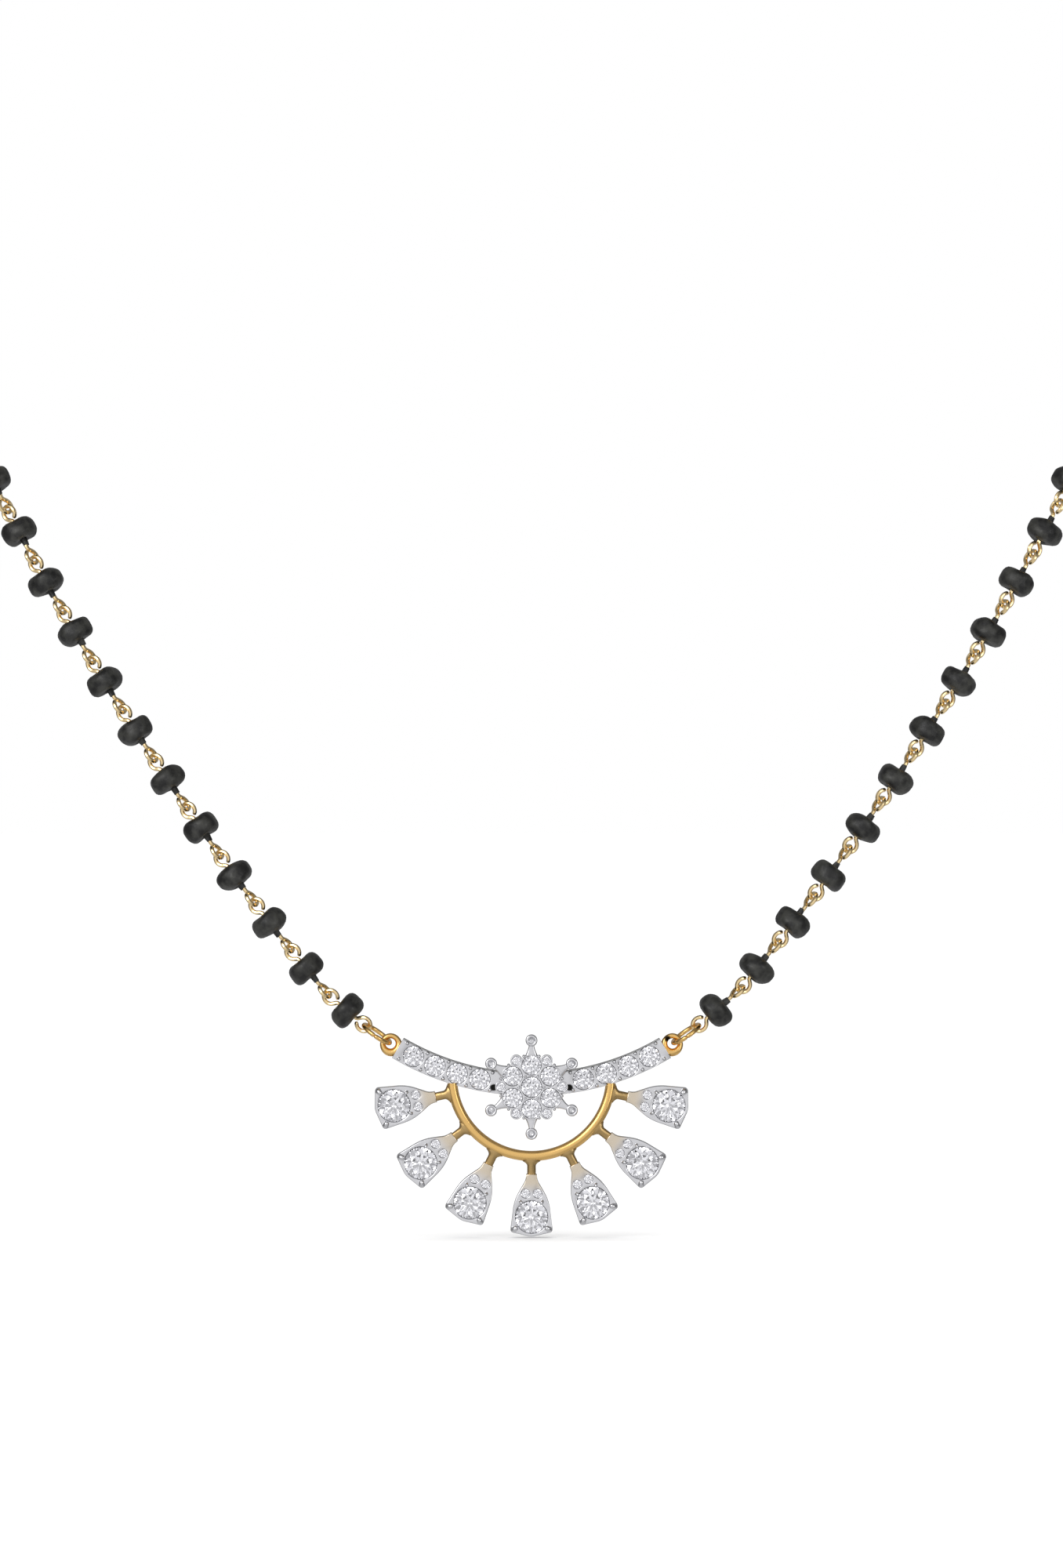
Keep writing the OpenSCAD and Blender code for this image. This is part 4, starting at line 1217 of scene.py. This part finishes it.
class MakeClasp(bpy.types.Operator):
    """The three jump rings and the barrel clasp"""

    bl_idname = "mangalsutra.make_clasp"
    bl_label = "Jump rings and clasp"

    def execute(self, context):
        """A ring is a round wire in the plane of x and y from one link point, cut on one side."""
        k = chain_sizes()
        path = arc_points((k.jump_bore + k.jump_wire) / 2, *JUMP_ARC, (k.jump_l / 2, 0))
        ring = wire(path, k.jump_wire / 2, RING_SIDES)
        left_end, right_end = (pin_ends(side, k)[-1] for side in SIDES)
        for name, side, start, roll in (
            ("left_jump_ring", LEFT, k.eyelet_link, JUMP_ROLL),
            ("right_jump_ring", RIGHT, k.eyelet_link, JUMP_ROLL),
            ("clasp_jump_ring", LEFT, left_end, PIN_ROLL),
        ):
            piece = repeated(ring, *strand_links(side, [start, start + k.jump_l], roll))
            put(f"{name}_wire", piece, "yellow_gold_polished", "chain", name)

        near, far = strand_at(RIGHT, [right_end]), strand_at(LEFT, [left_end + k.jump_l])
        clasp = self.barrel(k, np.linalg.norm(far - near))
        clasp = repeated(clasp, *links_between(near, far, PIN_ROLL))
        put("clasp_barrel", clasp, "yellow_gold_polished", "chain", "clasp")
        return {"FINISHED"}

    @staticmethod
    def barrel(k, span):
        """A turned barrel with bevelled ends and a fine seam, on a stem between two loops."""
        half, r, b, seam = k.clasp_l / 2, k.clasp_d / 2, k.clasp_bevel, 0.06
        bevel = arc_points(b, -90, 0, CLASP_STEPS, (r - b, b - half))
        body = turned([
            (0, -half), *bevel, (r, -2 * seam), (r - seam, -seam / 2), (r - seam, seam / 2),
            (r, 2 * seam), *(bevel * (1, -1))[::-1], (0, half),
        ], CLASP_SIDES)
        first = (k.clasp_bore - LINK_GAP) / 2
        ring_r = (k.clasp_bore + k.clasp_wire) / 2
        section = polar(k.clasp_wire / 2, round_angles(RING_SIDES)) + (ring_r, 0)
        loop = reordered(turned(section, CLASP_LOOP_SIDES, closed=True), Y_TO_Z)
        path = [(x, 0) for x in (first + ring_r, span / 2, span - first - ring_r)]
        stem = wire(path, k.clasp_wire / 2, RING_SIDES)
        return joined([
            moved(reordered(body, Z_TO_X), x=span / 2), stem,
            moved(loop, x=first), moved(loop, x=span - first),
        ])


# The photograph in pixels: its height, how far down it the arc's middle lies, and its scale
PHOTO_HEIGHT, ARC_DOWN, PIXELS_PER_MM = 2000, 1373, 18.45
# The camera's distance and sensor in millimetres, and what it sees in metres
CAMERA_DISTANCE, SENSOR, CLIP_START, CLIP_END = 500.0, 36.0, 0.01, 20

# The floor: how far below the lowest setting, half its width, and the size of its mottling
FLOOR_DROP, FLOOR_HALF, MOTTLE = 0.1, 4000.0, 400
# What the metal sees: smooth steps from one share of a direction to another, with the light at
# each end, towards the key panel, backwards and downwards
PANEL = (-0.3, -1, 0.28)
STEPS = {"Panel": (0.42, 0.93, 0.2, 0.83), "Y": (0.2, 0.9, 0.0, 0.14), "Z": (-0.2, -0.8, 0.0, 0.36)}
# What the stones see: a noise of the direction, stepped in the same way
CARD_NOISE, CARDS = 3.0, (0.42, 0.58, 0.5, 1.05)
# The light on the floor: of the world, of its own and from above, with its width in degrees
FLOOR_LIGHT, FLOOR_GLOW, OVERHEAD, OVERHEAD_WIDTH = 0.87, 0.13, 0.13 * math.pi, 50
# Soft panels: place from the pendant and size in millimetres, and watts
SOFTBOXES = {
    "key_softbox": ((-220, -330, 160), (260, 200), 0.4),
    "fill_softbox": ((260, -300, 20), (160, 260), 0.2),
}


def matt_white():
    """Matt white board of the floor: no gloss, hardly mottled, with a little light of its own."""
    material, tree, shader, place = new_material("floor_matt_white", {
        "Roughness": 0.9, "Specular IOR Level": 0.0, "Emission Color": hex_colour("#ffffff"),
        "Emission Strength": FLOOR_GLOW,
    })
    mottle = add_node(
        tree, "ShaderNodeTexNoise", {"Scale": 1 / (MOTTLE * MM)}, {"Vector": (place, "Object")}
    )
    tone = add_node(
        tree, "ShaderNodeMix", {"A": hex_colour("#f4f4f4"), "B": hex_colour("#fafafa")},
        {"Factor": (mottle, "Fac")}, data_type="RGBA",
    )
    tree.links.new(tone.outputs["Result"], shader.inputs["Base Color"])
    return material


class SetStage(bpy.types.Operator):
    """The pale floor, the soft studio light and the camera at the photograph's angle"""

    bl_idname = "mangalsutra.set_stage"
    bl_label = "Stage, light and camera"

    def execute(self, context):
        scene = context.scene
        scene.view_settings.view_transform = "Standard"
        scene.camera, scene.world = self.camera(), self.world()
        self.floor()
        for name, values in SOFTBOXES.items():
            self.softbox(name, *values)
        self.overhead()
        return {"FINISHED"}

    @staticmethod
    def camera():
        """Lens = sensor times distance over the height of the view at the pendant."""
        rise = (ARC_DOWN - PHOTO_HEIGHT / 2) / PIXELS_PER_MM
        data = bpy.data.cameras.new("camera")
        data.sensor_width = SENSOR
        data.lens = SENSOR * CAMERA_DISTANCE / (PHOTO_HEIGHT / PIXELS_PER_MM)
        data.clip_start, data.clip_end = CLIP_START, CLIP_END
        camera = in_scene("camera", data)
        camera.location = (PENDANT_AT + (0, -CAMERA_DISTANCE, rise)) * MM
        camera.rotation_euler = (math.pi / 2, 0, 0)
        return camera

    @staticmethod
    def floor():
        """A plane just under the lowest setting."""
        level = CAD_BOX[0][2] / MM - FLOOR_DROP
        corner = np.array([-FLOOR_HALF, FLOOR_HALF])
        points = np.stack([*np.meshgrid(corner, corner), np.full((2, 2), level)], -1)
        floor = in_scene("floor", mesh_of("floor", grid(points), smooth=False))
        floor.data.materials.append(matt_white())
        floor.visible_glossy = floor.visible_transmission = False

    @staticmethod
    def world():
        """White to the camera and an even light on the floor. To the metal a studio, the sum of
        smooth steps of the direction. Stones see cards of light and dark."""
        world = bpy.data.worlds.new("studio")
        world.use_nodes = True
        tree = world.node_tree
        tree.nodes.clear()
        place = add_node(tree, "ShaderNodeTexCoord")
        axes = add_node(tree, "ShaderNodeSeparateXYZ", links={"Vector": (place, "Generated")})
        panel = add_node(
            tree, "ShaderNodeVectorMath", {1: Vector(PANEL).normalized()},
            {0: (place, "Generated")}, operation="DOT_PRODUCT",
        )
        noise = add_node(
            tree, "ShaderNodeTexNoise", {"Scale": CARD_NOISE, "Detail": 0.0}, {"Vector": (place, "Generated")}
        )
        steps = []
        for source, (start, end, low, high) in (
            ((panel, "Value"), STEPS["Panel"]), ((axes, "Y"), STEPS["Y"]), ((axes, "Z"), STEPS["Z"]),
            ((noise, "Fac"), CARDS),
        ):
            step = add_node(
                tree, "ShaderNodeMapRange",
                {"From Min": start, "From Max": end, "To Min": low, "To Max": high},
                {"Value": source}, interpolation_type="SMOOTHSTEP",
            )
            steps.append((step, "Result"))
        front, back, below, cards = steps
        both = add_node(tree, "ShaderNodeMath", links={0: front, 1: back}, operation="ADD")
        studio = add_node(tree, "ShaderNodeMath", links={0: (both, 0), 1: below}, operation="ADD")
        seen = add_node(tree, "ShaderNodeLightPath")
        strength = add_node(
            tree, "ShaderNodeMix", links={0: (seen, "Is Transmission Ray"), 2: (studio, 0), 3: cards}
        )
        soft = add_node(
            tree, "ShaderNodeBackground", {"Color": hex_colour("#fdfdff")}, {"Strength": (strength, 0)}
        )
        even, white = (
            add_node(tree, "ShaderNodeBackground", {"Color": hex_colour("#ffffff"), "Strength": strength})
            for strength in (FLOOR_LIGHT, 1.0)
        )
        on_floor = add_node(
            tree, "ShaderNodeMixShader", links={0: (seen, "Is Diffuse Ray"), 1: (soft, 0), 2: (even, 0)}
        )
        mix = add_node(
            tree, "ShaderNodeMixShader", links={0: (seen, "Is Camera Ray"), 1: (on_floor, 0), 2: (white, 0)}
        )
        add_node(tree, "ShaderNodeOutputWorld", links={"Surface": (mix, 0)})
        return world

    @staticmethod
    def overhead():
        """Even light from above, which only lays the soft shadow on the floor."""
        data = bpy.data.lights.new("overhead_light", "SUN")
        data.energy, data.angle = OVERHEAD, math.radians(OVERHEAD_WIDTH)
        light = in_scene("overhead_light", data)
        light.visible_glossy = light.visible_transmission = False

    @staticmethod
    def softbox(name, place, size, watts):
        """A soft panel that faces the pendant, at a place in millimetres from it."""
        data = bpy.data.lights.new(name, "AREA")
        data.shape = "RECTANGLE"
        data.size, data.size_y = (s * MM for s in size)
        data.energy = watts
        light = in_scene(name, data)
        light.location = (PENDANT_AT + place) * MM
        light.rotation_mode = "QUATERNION"
        light.rotation_quaternion = Vector(place).to_track_quat("Z", "Y")


OPERATORS = (
    MakeArc, MakeBar, MakePears, MakeCluster, SetStones, StringBeads, BendPins, MakeClasp, SetStage
)
GROUPS = {
    "mangalsutra_pendant": PendantSizes,
    "mangalsutra_cluster": ClusterSizes,
    "mangalsutra_chain": ChainSizes,
    "mangalsutra_finishes": Finishes,
}


class MangalsutraPanel(bpy.types.Panel):
    """Lists the operators and the sizes of the mangalsutra"""

    bl_idname = "VIEW3D_PT_mangalsutra"
    bl_label = "Mangalsutra"
    bl_space_type = "VIEW_3D"
    bl_region_type = "UI"
    bl_category = "Mangalsutra"

    def draw(self, context):
        for operator in OPERATORS:
            self.layout.operator(operator.bl_idname)
        for key in GROUPS:
            group = getattr(context.scene, key)
            box = self.layout.box()
            for name in type(group).__annotations__:
                box.prop(group, name)


def register():
    for cls in (*GROUPS.values(), *OPERATORS, MangalsutraPanel):
        bpy.utils.register_class(cls)
    for key, group in GROUPS.items():
        setattr(bpy.types.Scene, key, PointerProperty(type=group))


def unregister():
    for key in GROUPS:
        delattr(bpy.types.Scene, key)
    for cls in (MangalsutraPanel, *OPERATORS, *GROUPS.values()):
        bpy.utils.unregister_class(cls)


def main():
    register()
    for operator in OPERATORS:
        group, name = operator.bl_idname.split(".")
        getattr(getattr(bpy.ops, group), name)()
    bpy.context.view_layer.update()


if __name__ == "__main__":
    main()
